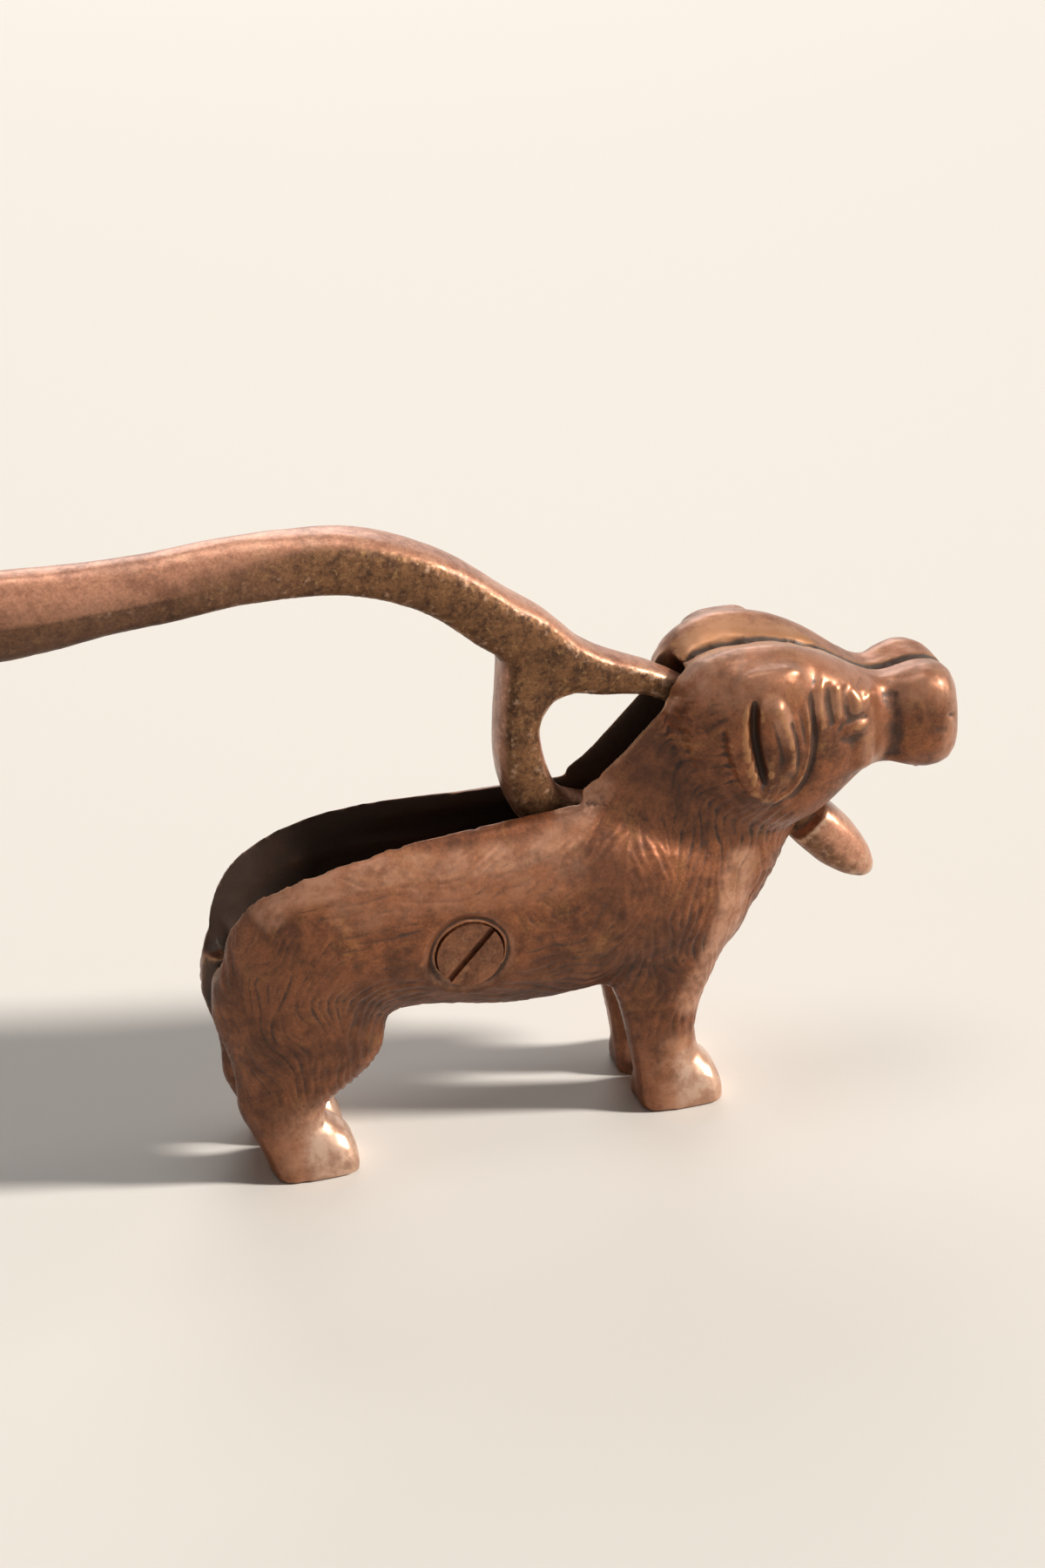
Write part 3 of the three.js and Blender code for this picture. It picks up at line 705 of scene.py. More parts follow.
def coatStrokes():
    chance = np.random.default_rng(coat["seed"])
    columns, rows = np.meshgrid(*(np.arange(n, dtype=float) for n in coat["cells"]), indexing="ij")
    x = coat["from"][0] + columns * coat["cell"]
    z = coat["from"][1] + rows * coat["cell"]
    doubleCos, doubleSin = np.zeros_like(x), np.zeros_like(x)
    for px, pz, angle in coat["lie"]:
        weight = np.exp(-((x - px) ** 2 + (z - pz) ** 2) / (2 * coat["reach"] ** 2)) + 1e-12
        doubleCos += weight * np.cos(radians(2 * angle))
        doubleSin += weight * np.sin(radians(2 * angle))
    angle = np.arctan2(doubleSin, doubleCos) / 2
    wave = blurred(chance.standard_normal(x.shape), coat["waveSize"])
    angle += radians(coat["wave"]) * wave / wave.std()
    stepX, stepZ = np.cos(angle), np.sin(angle)
    thin, thick = coat["strandSize"]
    speckle = chance.standard_normal(x.shape)
    speckle = blurred(speckle, thin) - blurred(speckle, thick)
    total = speckle.copy()
    for sense in (1, -1):
        column, row = columns.copy(), rows.copy()
        headingX, headingZ = stepX * sense, stepZ * sense
        for _ in range(coat["strokeSteps"]):
            column += headingX
            row += headingZ
            total += sampleGrid(speckle, column, row)
            nextX, nextZ = sampleGrid(stepX, column, row), sampleGrid(stepZ, column, row)
            turned = np.sign(nextX * headingX + nextZ * headingZ)
            headingX, headingZ = nextX * turned, nextZ * turned
    total -= blurred(total, thick * coat["level"])
    return np.tanh(coat["contrast"] * total / total.std())


def coatHeight(points, normals, strokes):
    x, z = sideView(points)
    inset = coatWrap["half"] - fromSeam(points)
    x = x + coatWrap["round"] * inset * (ramp(x, *coatWrap["chest"]) - ramp(-x, *coatWrap["rump"]))
    z = z + coatWrap["over"] * inset * ramp(normals[:, 2], *coatWrap["backTurned"])
    column = (x - coat["from"][0]) / coat["cell"]
    row = (z - coat["from"][1]) / coat["cell"]
    return sampleGrid(strokes, column, row)


def coatMask(points, normals):
    x, z = sideView(points)
    side = fromSeam(points)
    edges = coatEdges
    mask = ramp(turnedOut(points, normals), *edges["turned"]) * ramp(side, *edges["fromSeam"])
    chest = ramp(normals[:, 0], *edges["endTurned"]) * (z < edges["chestBelow"])
    rump = ramp(-normals[:, 0], *edges["endTurned"]) * (x < edges["rumpBehind"])
    mask = np.maximum(mask, np.clip(chest + rump, 0, 1) * ramp(side, *edges["endFromSeam"]))
    mask *= 1 - ramp(normals[:, 2], *edges["backTurned"]) * (x < edges["backBehind"])
    onHead = ramp(x + edges["headLean"] * z, *edges["headFrom"]) * ramp(z, *edges["headAbove"])
    mask *= 1 - onHead
    mask *= ramp(z, *edges["abovePaws"])
    rubbedX, rubbedZ = edges["rubbedAt"]
    away = (x - rubbedX) ** 2 + (z - rubbedZ) ** 2
    mask *= 1 - edges["rubbed"] * np.exp(-away / (2 * edges["rubbedReach"] ** 2))
    away = awayFromScrew(points)
    least, more = edges["screwShare"]
    return mask * (least + more * ramp(away, *edges["screwThin"])) * ramp(away, *edges["screwBare"])


# The cast skin: hair, sand grain and lumps, raised on the surface by one node tree

skin = {
    "shell": {
        "hairDepth": 0.17 * mm,
        "grainSize": 1.2 * mm,
        "grainDepth": 0.05 * mm,
        "lumpSize": 7 * mm,
        "lumpDepth": 0.22 * mm,
        "seed": 3.0,
    },
    "lever": {
        "hairDepth": 0.0,
        "grainSize": 1.4 * mm,
        "grainDepth": 0.2 * mm,
        "lumpSize": 6 * mm,
        "lumpDepth": 0.3 * mm,
        "seed": 8.0,
    },
}
skinForm = {"grainDetail": 3.0, "lumpDetail": 1.0, "roughGain": 2.0}


def endTree(tree, geometry, material):
    whole = place(tree, "GeometryNodeRealizeInstances", Geometry=geometry).outputs[0]
    done = place(tree, "GeometryNodeSetMaterial", Geometry=whole, Material=material).outputs[0]
    tree.links.new(done, tree.nodes.new("NodeGroupOutput").inputs[0])


def skinTree():
    tree = bpy.data.node_groups.new("castSkin", "GeometryNodeTree")
    socket(tree, "Geometry", "NodeSocketGeometry")
    for name in skin["shell"]:
        socket(tree, name, "NodeSocketFloat")
    socket(tree, "material", "NodeSocketMaterial")
    socket(tree, "Geometry", "NodeSocketGeometry", "OUTPUT")
    given = tree.nodes.new("NodeGroupInput").outputs
    where = tree.nodes.new("GeometryNodeInputPosition").outputs[0]
    out = tree.nodes.new("GeometryNodeInputNormal").outputs[0]

    def field(name):
        return place(tree, "GeometryNodeInputNamedAttribute", {"data_type": "FLOAT"}, Name=name).outputs[0]

    def noise(size, detail):
        given4D = {"Vector": where, "W": given["seed"], "Scale": sums(tree, "DIVIDE", 1.0, size)}
        made = place(tree, "ShaderNodeTexNoise", {"noise_dimensions": "4D"}, Detail=detail, **given4D)
        return sums(tree, "SUBTRACT", made.outputs[0], 0.5)

    grain = noise(given["grainSize"], skinForm["grainDetail"])
    grain = sums(tree, "MULTIPLY", grain, given["grainDepth"])
    grain = sums(tree, "MULTIPLY", grain, sums(tree, "MULTIPLY", field("rough"), skinForm["roughGain"]))
    lumps = noise(given["lumpSize"], skinForm["lumpDetail"])
    lumps = sums(tree, "MULTIPLY", lumps, given["lumpDepth"])
    lumps = sums(tree, "MULTIPLY", lumps, field("free"))
    hair = sums(tree, "MULTIPLY", field("hair"), given["hairDepth"])
    height = sums(tree, "ADD", sums(tree, "ADD", grain, lumps), hair)
    move = place(tree, "ShaderNodeVectorMath", {"operation": "SCALE"}, i0=out, Scale=height).outputs[0]
    raised = place(tree, "GeometryNodeSetPosition", Geometry=given["Geometry"], Offset=move).outputs[0]
    endTree(tree, raised, given["material"])
    return tree


castSkin = skinTree()


def setInputs(modifier, **values):
    for item in modifier.node_group.interface.items_tree:
        if item.item_type == "SOCKET" and item.in_out == "INPUT" and item.name in values:
            modifier[item.identifier] = values[item.name]


def growSkin(piece, sizes, material):
    modifier = piece.modifiers.new("skin", "NODES")
    modifier.node_group = castSkin
    setInputs(modifier, material=material, **sizes)
    mesh = bakeModifiers(piece)
    mesh.name = piece.name
    points, edges = pointsOf(mesh), edgesOf(mesh)
    soft = relaxed(points, edges, casting["reliefPasses"])
    setField(mesh, "relief", np.sum((points - soft) * normalsOf(mesh), axis=1) / mm)
    smoothShaded(mesh)
    return mesh


shell = {
    "fillFrom": 8 * mm,
    "cavityTurned": -0.2,
    "cavityAbove": -38,
    "joint": 0.2 * mm,
    "clearOfJoint": (0.3, 1.6),  # where the cast skin starts and is full, in millimetres
    "clearOfFloor": (0.2, 2),
    "clearOfScrew": (11.6, 13),
    "hairOffUnderRubAndSheen": 0.6,
    "insideShadeTurned": (-0.5, -0.1),  # painted shade on the inside faces of the halves, above the legs and behind the head
    "insideShadeAbove": (-46, -40),
    "insideShadeLean": 0.5,
    "insideShadeBehind": (-6, 4),
}


def shellCasting(node, name, strokes, material):
    piece = meshCopy(node, name)
    mesh = gridMesh(piece, casting["shellGrid"])
    points, normals = pointsOf(mesh), normalsOf(mesh)
    _, z = sideView(points)
    cavity = (turnedOut(points, normals) < shell["cavityTurned"]) & (z > shell["cavityAbove"])
    mesh = thinHidden(piece, cavity | (np.abs(points[:, 1]) < shell["joint"]))
    sharp = roundCasting(mesh, shell["fillFrom"])
    setPoints(mesh, blendHead(pointsOf(mesh), edgesOf(mesh)))
    points, normals = pointsOf(mesh), normalsOf(mesh)
    points += normals * carveHead(points, normals)[:, None]
    points += cutSeam(points, normals)
    chamferBore(points, normals)
    setPoints(mesh, points)
    normals = normalsOf(mesh)
    rubAndSheen = rubbedAndSheen(points, normals)
    free = ramp(fromSeam(points), *shell["clearOfJoint"]) * ramp(points[:, 2] / mm, *shell["clearOfFloor"])
    free = free * ramp(awayFromScrew(points), *shell["clearOfScrew"]) * (1 - sharp)
    hair = coatHeight(points, normals, strokes) * coatMask(points, normals)
    setField(mesh, "hair", hair * free * (1 - shell["hairOffUnderRubAndSheen"] * rubAndSheen))
    setField(mesh, "rubAndSheen", rubAndSheen)
    setField(mesh, "paintedShade", paintedShadeShare(points, normals))
    setField(mesh, "headSeam", headSeam(points))
    setField(mesh, "rough", free)
    setField(mesh, "free", free)
    mesh = growSkin(piece, skin["shell"], material)
    x, z = sideView(points)
    # painted shade on the inside faces of the halves seen through the slot
    shadeAndSeam = (1 - ramp(turnedOut(points, normals), *shell["insideShadeTurned"])) * ramp(z, *shell["insideShadeAbove"])
    shadeAndSeam *= 1 - ramp(x + shell["insideShadeLean"] * z, *shell["insideShadeBehind"])
    setField(mesh, "insideShade", np.clip(shadeAndSeam, 0, 1))
    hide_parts(node)
    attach(piece, "dog")
    print(name, len(mesh.polygons), "faces")


# The grip is full below and falls away above. Millimetres behind the pin, and exponents of the half sections
handle = {
    "from": 66,
    "round": 128,
    "slice": 4,
    "middle": -0.3,
    "above": 2.0,
    "below": 2.6,
    "easeOver": 20,
    "easePasses": 10,
    "easePull": 0.6,
}


def gripSection(mesh):
    points = pointsOf(mesh)
    x, _ = sideView(points)
    start, step = handle["from"], handle["slice"]
    part = np.flatnonzero(x < -start)
    slices = np.arange(x.min() - step, -start + 2 * step, step)
    top, bottom, half = [], [], []
    for middle in slices:
        near = points[np.abs(x - middle) < step]
        near = near if len(near) else points[x < x.min() + step]
        top.append(near[:, 2].max())
        bottom.append(near[:, 2].min())
        half.append(np.abs(near[:, 1]).max())
    centre = np.interp(x[part], slices, (np.array(top) + np.array(bottom)) / 2)
    tall = np.interp(x[part], slices, (np.array(top) - np.array(bottom)) / 2)
    wide = np.interp(x[part], slices, half)
    level = handle["middle"]
    up, across = (points[part, 2] - centre) / tall - level, points[part, 1] / wide
    power = np.where(up > 0, handle["above"], handle["below"])
    rise = np.abs(up) / np.where(up > 0, 1 - level, 1 + level)
    reach = (rise**power + np.abs(across) ** power) ** (1 / power)
    share = 1 + ramp(-x[part], start, handle["round"]) * (1 / np.maximum(reach, 1) - 1)
    points[part, 2] = centre + (up * share + level) * tall
    points[part, 1] = across * share * wide
    eased = relaxed(points, edgesOf(mesh), handle["easePasses"], handle["easePull"])
    easing = ramp(-x, start, start + handle["easeOver"])[:, None]
    setPoints(mesh, points + (eased - points) * easing)


jaw = {"angle": -47.7, "from": 19, "to": 24}  # degrees below level and millimetres from the pin
leverWear = {
    "hub": (20, 26),  # the cast skin starts outside the hub
    "smoothRims": 0.75,
    "grip": (96, 150),
    "gripSides": 0.28,  # the grip is rubbed further down its sides; the sides and underside are coloured darker as painted shade
    "gripTurned": (0.02, 0.2),
    "sideTurned": (0.55, 0.85),
    "underTurned": (0.2, 0.6),
    "gripSmooth": 0.45,
    "jawTerminatorWave": (0.5, 1.3),
    "jawLitSide": (-2.6, 0.6),
    "jawShadedRough": 0.8,
    "jawSmooth": 0.6,
    "roughShare": (0.1, 0.9),
    "unhandledAndShaded": 0.85,
}


def leverCasting(material):
    piece = meshCopy("tail_lever", "tailCasting")
    mesh = gridMesh(piece, casting["leverGrid"])
    sharp = roundCasting(mesh, 0)
    gripSection(mesh)
    points, normals = pointsOf(mesh), normalsOf(mesh)
    x, z = sideView(points)
    wear = leverWear
    turn = radians(jaw["angle"])
    along = x * np.cos(turn) + z * np.sin(turn)
    above = z * np.cos(turn) - x * np.sin(turn)
    onJaw = ramp(along, jaw["from"], jaw["to"])
    onGrip = ramp(-x, *wear["grip"])
    free = ramp(np.hypot(x, z), *wear["hub"]) * (1 - wear["smoothRims"] * sharp)
    rubbedSides = wear["gripSides"] * onGrip * ramp(normals[:, 2], *wear["gripTurned"])
    sideFace = ramp(np.abs(normals[:, 1]) - rubbedSides, *wear["sideTurned"])
    # painted shade: the sides and underside take the darker rough colour
    unhandledAndShaded = np.maximum(sideFace, ramp(-normals[:, 2], *wear["underTurned"]))
    rough = unhandledAndShaded * (1 - wear["gripSmooth"] * onGrip)
    # painted light on the jaw: the upper side lit, the lower side shaded, with a wavy edge between
    waveHeight, waveTurn = wear["jawTerminatorWave"]
    jawLitSide = ramp(above + waveHeight * np.sin(along * waveTurn), *wear["jawLitSide"])
    rough = rough * (1 - onJaw) + onJaw * (1 - jawLitSide) * wear["jawShadedRough"]
    least, more = wear["roughShare"]
    setField(mesh, "hair", np.zeros(len(points)))
    setField(mesh, "rough", free * (least + more * rough) * (1 - wear["jawSmooth"] * onJaw))
    setField(mesh, "free", free)
    mesh = growSkin(piece, skin["lever"], material)
    setField(mesh, "handledAndLit", 1 - np.maximum(rough, wear["unhandledAndShaded"] * unhandledAndShaded * (1 - onJaw)))
    setField(mesh, "dark", onGrip * (1 - onJaw))
    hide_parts("tail_lever")
    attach(piece, "lever")
    print("tailCasting", len(mesh.polygons), "faces")


# Ridges across the roof of the mouth, cast with each half. The ends of the ridges scallop the upper lip.

palate = {
    "firstX": pin.x + 31.2 * mm,
    "firstZ": pin.z + 3.1 * mm,
    "stepX": 4.7 * mm,
    "stepZ": -2.4 * mm,
    "fromSeam": 0.6 * mm,
    "toLip": 10.2 * mm,
    "radius": 1.2 * mm,
    "count": 3,
    "sides": 20,
}
palateRubAndSheen = 0.3


def palateTree():
    tree = bpy.data.node_groups.new("palateRidges", "GeometryNodeTree")
    socket(tree, "Geometry", "NodeSocketGeometry")
    socket(tree, "side", "NodeSocketFloat")
    for name, value in palate.items():
        socket(tree, name, "NodeSocketInt" if isinstance(value, int) else "NodeSocketFloat")
    socket(tree, "material", "NodeSocketMaterial")
    socket(tree, "Geometry", "NodeSocketGeometry", "OUTPUT")
    given = tree.nodes.new("NodeGroupInput").outputs
    radius, sides = given["radius"], given["sides"]
    length = sums(tree, "SUBTRACT", given["toLip"], given["fromSeam"])
    middle = sums(tree, "MULTIPLY", sums(tree, "ADD", given["fromSeam"], given["toLip"]), 0.5)

    def vector(**parts):
        return place(tree, "ShaderNodeCombineXYZ", **parts).outputs[0]

    def across(reach):
        return vector(Y=sums(tree, "MULTIPLY", given["side"], reach))

    def moved(form, to, turn=(0, 0, 0)):
        return place(tree, "GeometryNodeTransform", Geometry=form, Translation=to, Rotation=turn).outputs[0]

    bar = place(tree, "GeometryNodeMeshCylinder", Vertices=sides, Radius=radius, Depth=length).outputs["Mesh"]
    rings = sums(tree, "MULTIPLY", sides, 0.5)
    tip = place(tree, "GeometryNodeMeshUVSphere", Segments=sides, Rings=rings, Radius=radius).outputs["Mesh"]
    ridge = tree.nodes.new("GeometryNodeJoinGeometry")
    for form in (moved(bar, across(middle), (radians(90), 0, 0)), moved(tip, across(given["toLip"]))):
        tree.links.new(form, ridge.inputs[0])
    first = vector(X=given["firstX"], Z=given["firstZ"])
    step = vector(X=given["stepX"], Z=given["stepZ"])
    line = {"Count": given["count"], "Start Location": first, "Offset": step}
    row = place(tree, "GeometryNodeMeshLine", **line).outputs[0]
    placed = place(tree, "GeometryNodeInstanceOnPoints", Points=row, Instance=ridge.outputs[0]).outputs[0]
    endTree(tree, placed, given["material"])
    return tree


def ridgePalate(name, side, tree, material):
    piece = bpy.data.objects.new(name, bpy.data.meshes.new(name))
    scene.collection.objects.link(piece)
    modifier = piece.modifiers.new("ridges", "NODES")
    modifier.node_group = tree
    setInputs(modifier, side=side, material=material, **palate)
    mesh = bakeModifiers(piece)
    mesh.name = name
    setField(mesh, "rubAndSheen", np.full(len(mesh.vertices), palateRubAndSheen))
    smoothShaded(mesh)
    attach(piece, "dog")
    print(name, len(mesh.polygons), "faces")


# Finishes. Colours are linear. Four numbers of a change are from, to, and what it gives at each.

def mixColour(tree, share, first, second):
    node = place(tree, "ShaderNodeMix", {"data_type": "RGBA"})
    for name, value in (("Factor", share), ("A", first), ("B", second)):
        fill(tree, [item for item in node.inputs if item.name == name and item.enabled][0], value)
    return [item for item in node.outputs if item.enabled][0]


def mapRange(tree, value, low, high, toLow=0.0, toHigh=1.0):
    limits = {"From Min": low, "From Max": high, "To Min": toLow, "To Max": toHigh}
    settings = {"interpolation_type": "SMOOTHSTEP"}
    return place(tree, "ShaderNodeMapRange", settings, Value=value, **limits).outputs[0]


def noiseOf(tree, vector, scale, detail=3.0, roughness=0.55, distortion=0.0):
    return place(
        tree,
        "ShaderNodeTexNoise",
        Vector=vector,
        Scale=scale,
        Detail=detail,
        Roughness=roughness,
        Distortion=distortion,
    ).outputs[0]


def scaled(tree, colour, amount):
    return place(tree, "ShaderNodeVectorMath", {"operation": "SCALE"}, i0=colour, Scale=amount).outputs[0]


def less(tree, value, share):
    return sums(tree, "SUBTRACT", 1.0, sums(tree, "MULTIPLY", value, share))


patinaForm = {
    "cloud": (4.0, 0.6, 0.4),  # detail, roughness and distortion
    "mottle": (5.0, 0.65),
    "blotch": (6.0, 0.7, 0.8),
    "speck": (1500.0, 2.0, 0.6),
    "cloudShare": 0.55,
    "mottleShare": 0.45,
    "toneChange": (0.36, 0.6),
    "blotchSize": 2.3,  # times finer than the clouds
    "blotchChange": (0.52, 0.72),
    "speckChange": (0.3, 0.7, 0.8, 1.12),
}


def patinaGroup(form):
    tree = bpy.data.node_groups.new("patina", "ShaderNodeTree")
    socket(tree, "Place", "NodeSocketVector")
    for name in ("Deep", "Middle", "Blotch"):
        socket(tree, name, "NodeSocketColor")
    socket(tree, "Cloud", "NodeSocketFloat", value=55)
    socket(tree, "Mottle", "NodeSocketFloat", value=260)
    socket(tree, "Blotches", "NodeSocketFloat", value=0.5)
    socket(tree, "Colour", "NodeSocketColor", "OUTPUT")
    socket(tree, "Tone", "NodeSocketFloat", "OUTPUT")
    given = tree.nodes.new("NodeGroupInput").outputs
    cloud = noiseOf(tree, given["Place"], given["Cloud"], *form["cloud"])
    mottle = noiseOf(tree, given["Place"], given["Mottle"], *form["mottle"])
    speck = noiseOf(tree, given["Place"], *form["speck"])
    cloud = sums(tree, "MULTIPLY", cloud, form["cloudShare"])
    tone = sums(tree, "ADD", cloud, sums(tree, "MULTIPLY", mottle, form["mottleShare"]))
    ground = mixColour(tree, mapRange(tree, tone, *form["toneChange"]), given["Deep"], given["Middle"])
    blotchScale = sums(tree, "MULTIPLY", given["Cloud"], form["blotchSize"])
    blotch = noiseOf(tree, given["Place"], blotchScale, *form["blotch"])
    blotch = sums(tree, "MULTIPLY", mapRange(tree, blotch, *form["blotchChange"]), given["Blotches"])
    ground = mixColour(tree, blotch, ground, given["Blotch"])
    out = tree.nodes.new("NodeGroupOutput").inputs
    tree.links.new(scaled(tree, ground, mapRange(tree, speck, *form["speckChange"])), out["Colour"])
    tree.links.new(tone, out["Tone"])
    return tree


wearForm = {
    "noise": (420.0, 4.0, 0.65),
    "uneven": (0.3, 0.7, 0.55, 1.3),
    "wornFrom": 0.35,
}


def wearGroup(form):
    tree = bpy.data.node_groups.new("reliefWear", "ShaderNodeTree")
    socket(tree, "Place", "NodeSocketVector")
    socket(tree, "Relief", "NodeSocketFloat")
    for name in ("Colour", "Dirt", "Worn"):
        socket(tree, name, "NodeSocketColor")
    socket(tree, "Dirt Depth", "NodeSocketFloat", value=0.16)
    socket(tree, "Dirt Share", "NodeSocketFloat", value=0.88)
    socket(tree, "Worn Height", "NodeSocketFloat", value=0.3)
    socket(tree, "Worn Share", "NodeSocketFloat", value=0.7)
    socket(tree, "Colour", "NodeSocketColor", "OUTPUT")
    socket(tree, "Dirt Mask", "NodeSocketFloat", "OUTPUT")
    socket(tree, "Worn Mask", "NodeSocketFloat", "OUTPUT")
    given = tree.nodes.new("NodeGroupInput").outputs
    uneven = mapRange(tree, noiseOf(tree, given["Place"], *form["noise"]), *form["uneven"])
    depth = sums(tree, "MULTIPLY", given["Relief"], -1.0)
    dirt = mapRange(tree, sums(tree, "MULTIPLY", depth, uneven), 0.0, given["Dirt Depth"])
    dirt = sums(tree, "MULTIPLY", dirt, given["Dirt Share"])
    raised = sums(tree, "MULTIPLY", given["Relief"], uneven)
    start = sums(tree, "MULTIPLY", given["Worn Height"], form["wornFrom"])
    worn = sums(tree, "MULTIPLY", mapRange(tree, raised, start, given["Worn Height"]), given["Worn Share"])
    colour = mixColour(tree, worn, given["Colour"], given["Worn"])
    colour = mixColour(tree, dirt, colour, given["Dirt"])
    out = tree.nodes.new("NodeGroupOutput").inputs
    tree.links.new(colour, out["Colour"])
    tree.links.new(dirt, out["Dirt Mask"])
    tree.links.new(worn, out["Worn Mask"])
    return tree


grainForm = {
    "grain": (4.0, 0.7),
    "pitEdge": (0.05, 0.3, 1.0, 0.0),
    "pitPatches": 120.0,
    "pitChange": (0.5, 0.62),
    "pitDepth": 0.6,
}


def grainGroup(form):
    tree = bpy.data.node_groups.new("castGrain", "ShaderNodeTree")
    socket(tree, "Place", "NodeSocketVector")
    socket(tree, "Grain", "NodeSocketFloat", value=900)
    socket(tree, "Pits", "NodeSocketFloat", value=380)
    socket(tree, "Height", "NodeSocketFloat", "OUTPUT")
    socket(tree, "Pit Mask", "NodeSocketFloat", "OUTPUT")
    given = tree.nodes.new("NodeGroupInput").outputs
    grain = noiseOf(tree, given["Place"], given["Grain"], *form["grain"])
    cells = place(tree, "ShaderNodeTexVoronoi", Vector=given["Place"], Scale=given["Pits"])
    patches = mapRange(tree, noiseOf(tree, given["Place"], form["pitPatches"]), *form["pitChange"])
    pits = mapRange(tree, cells.outputs["Distance"], *form["pitEdge"])
    pits = sums(tree, "MULTIPLY", pits, patches)
    height = sums(tree, "SUBTRACT", grain, sums(tree, "MULTIPLY", pits, form["pitDepth"]))
    out = tree.nodes.new("NodeGroupOutput").inputs
    tree.links.new(height, out["Height"])
    tree.links.new(pits, out["Pit Mask"])
    return tree


patina, reliefWear, castGrain = patinaGroup(patinaForm), wearGroup(wearForm), grainGroup(grainForm)


def useGroup(tree, group, **values):
    node = tree.nodes.new("ShaderNodeGroup")
    node.node_tree = group
    for name, value in values.items():
        fill(tree, node.inputs[name.replace("_", " ")], value)
    return node.outputs


def attributeOf(tree, name):
    return place(tree, "ShaderNodeAttribute", {"attribute_name": name}).outputs["Fac"]


def newMaterial(name):
    material = bpy.data.materials.new(name)
    material.use_nodes = True
    tree = material.node_tree
    where = tree.nodes.new("ShaderNodeTexCoord").outputs["Object"]
    return material, tree, tree.nodes["Principled BSDF"], where


waxRoughness = 0.26


def joinUp(tree, shader, colour, metallic, roughness, height, bump, wax=None):
    if wax is not None:
        tree.links.new(wax, shader.inputs["Coat Weight"])
        shader.inputs["Coat Roughness"].default_value = waxRoughness
    tree.links.new(colour, shader.inputs["Base Color"])
    tree.links.new(metallic, shader.inputs["Metallic"])
    tree.links.new(roughness, shader.inputs["Roughness"])
    bumped = place(tree, "ShaderNodeBump", Height=height, **bump).outputs["Normal"]
    tree.links.new(bumped, shader.inputs["Normal"])


shellIronLook = {
    "ground": {
        "Deep": (0.09, 0.029, 0.011, 1),
        "Middle": (0.27, 0.092, 0.036, 1),
        "Blotch": (0.34, 0.155, 0.05, 1),
        "Cloud": 48,
        "Blotches": 0.5,
    },
    "wear": {
        "Dirt": (0.02, 0.008, 0.003, 1),
        "Worn": (0.5, 0.25, 0.11, 1),
        "Dirt_Depth": 0.21,
        "Dirt_Share": 0.8,
        "Worn_Height": 0.5,
        "Worn_Share": 0.5,
    },
    # colour of rubbed metal and painted sheen
    "rubbedAndSheen": (0.56, 0.285, 0.17, 1),
    # painted highlight, near white
    "paintedHighlight": (0.62, 0.43, 0.32, 1),
    # colour of painted shade
    "paintedShade": (0.07, 0.024, 0.01, 1),
    "rubNoise": (170.0, 5.0, 0.65),
    "rubChange": (0.35, 0.65, 0.3, 1.0),
    "paintedShadeChange": (0.4, 0.62, 0.8, 0.45),
    "highlightFromShare": (0.72, 1.0),
    "highlightRubbed": (0.3, 1.0, 0.3, 0.8),
    "seamWidth": 0.55 * mm,
    "seamOnHead": 0.85 * mm,  # added to it
    "seamChange": (0.9, 1.6, 0.96, 0.0),
    # strength of the painted shade inside the halves
    "shadeAndSeam": 0.9,
    "metallic": 0.6,
    "metallicWorn": 0.2,
    "roughChange": (0.35, 0.65, 0.48, 0.36),
    "roughRubAndSheen": 0.08,
    "roughDirtAndShade": 0.3,
    "wax": 0.12,
    "waxRubAndSheen": 0.5,
    "bump": {"Strength": 0.35, "Distance": 0.1 * mm},
}


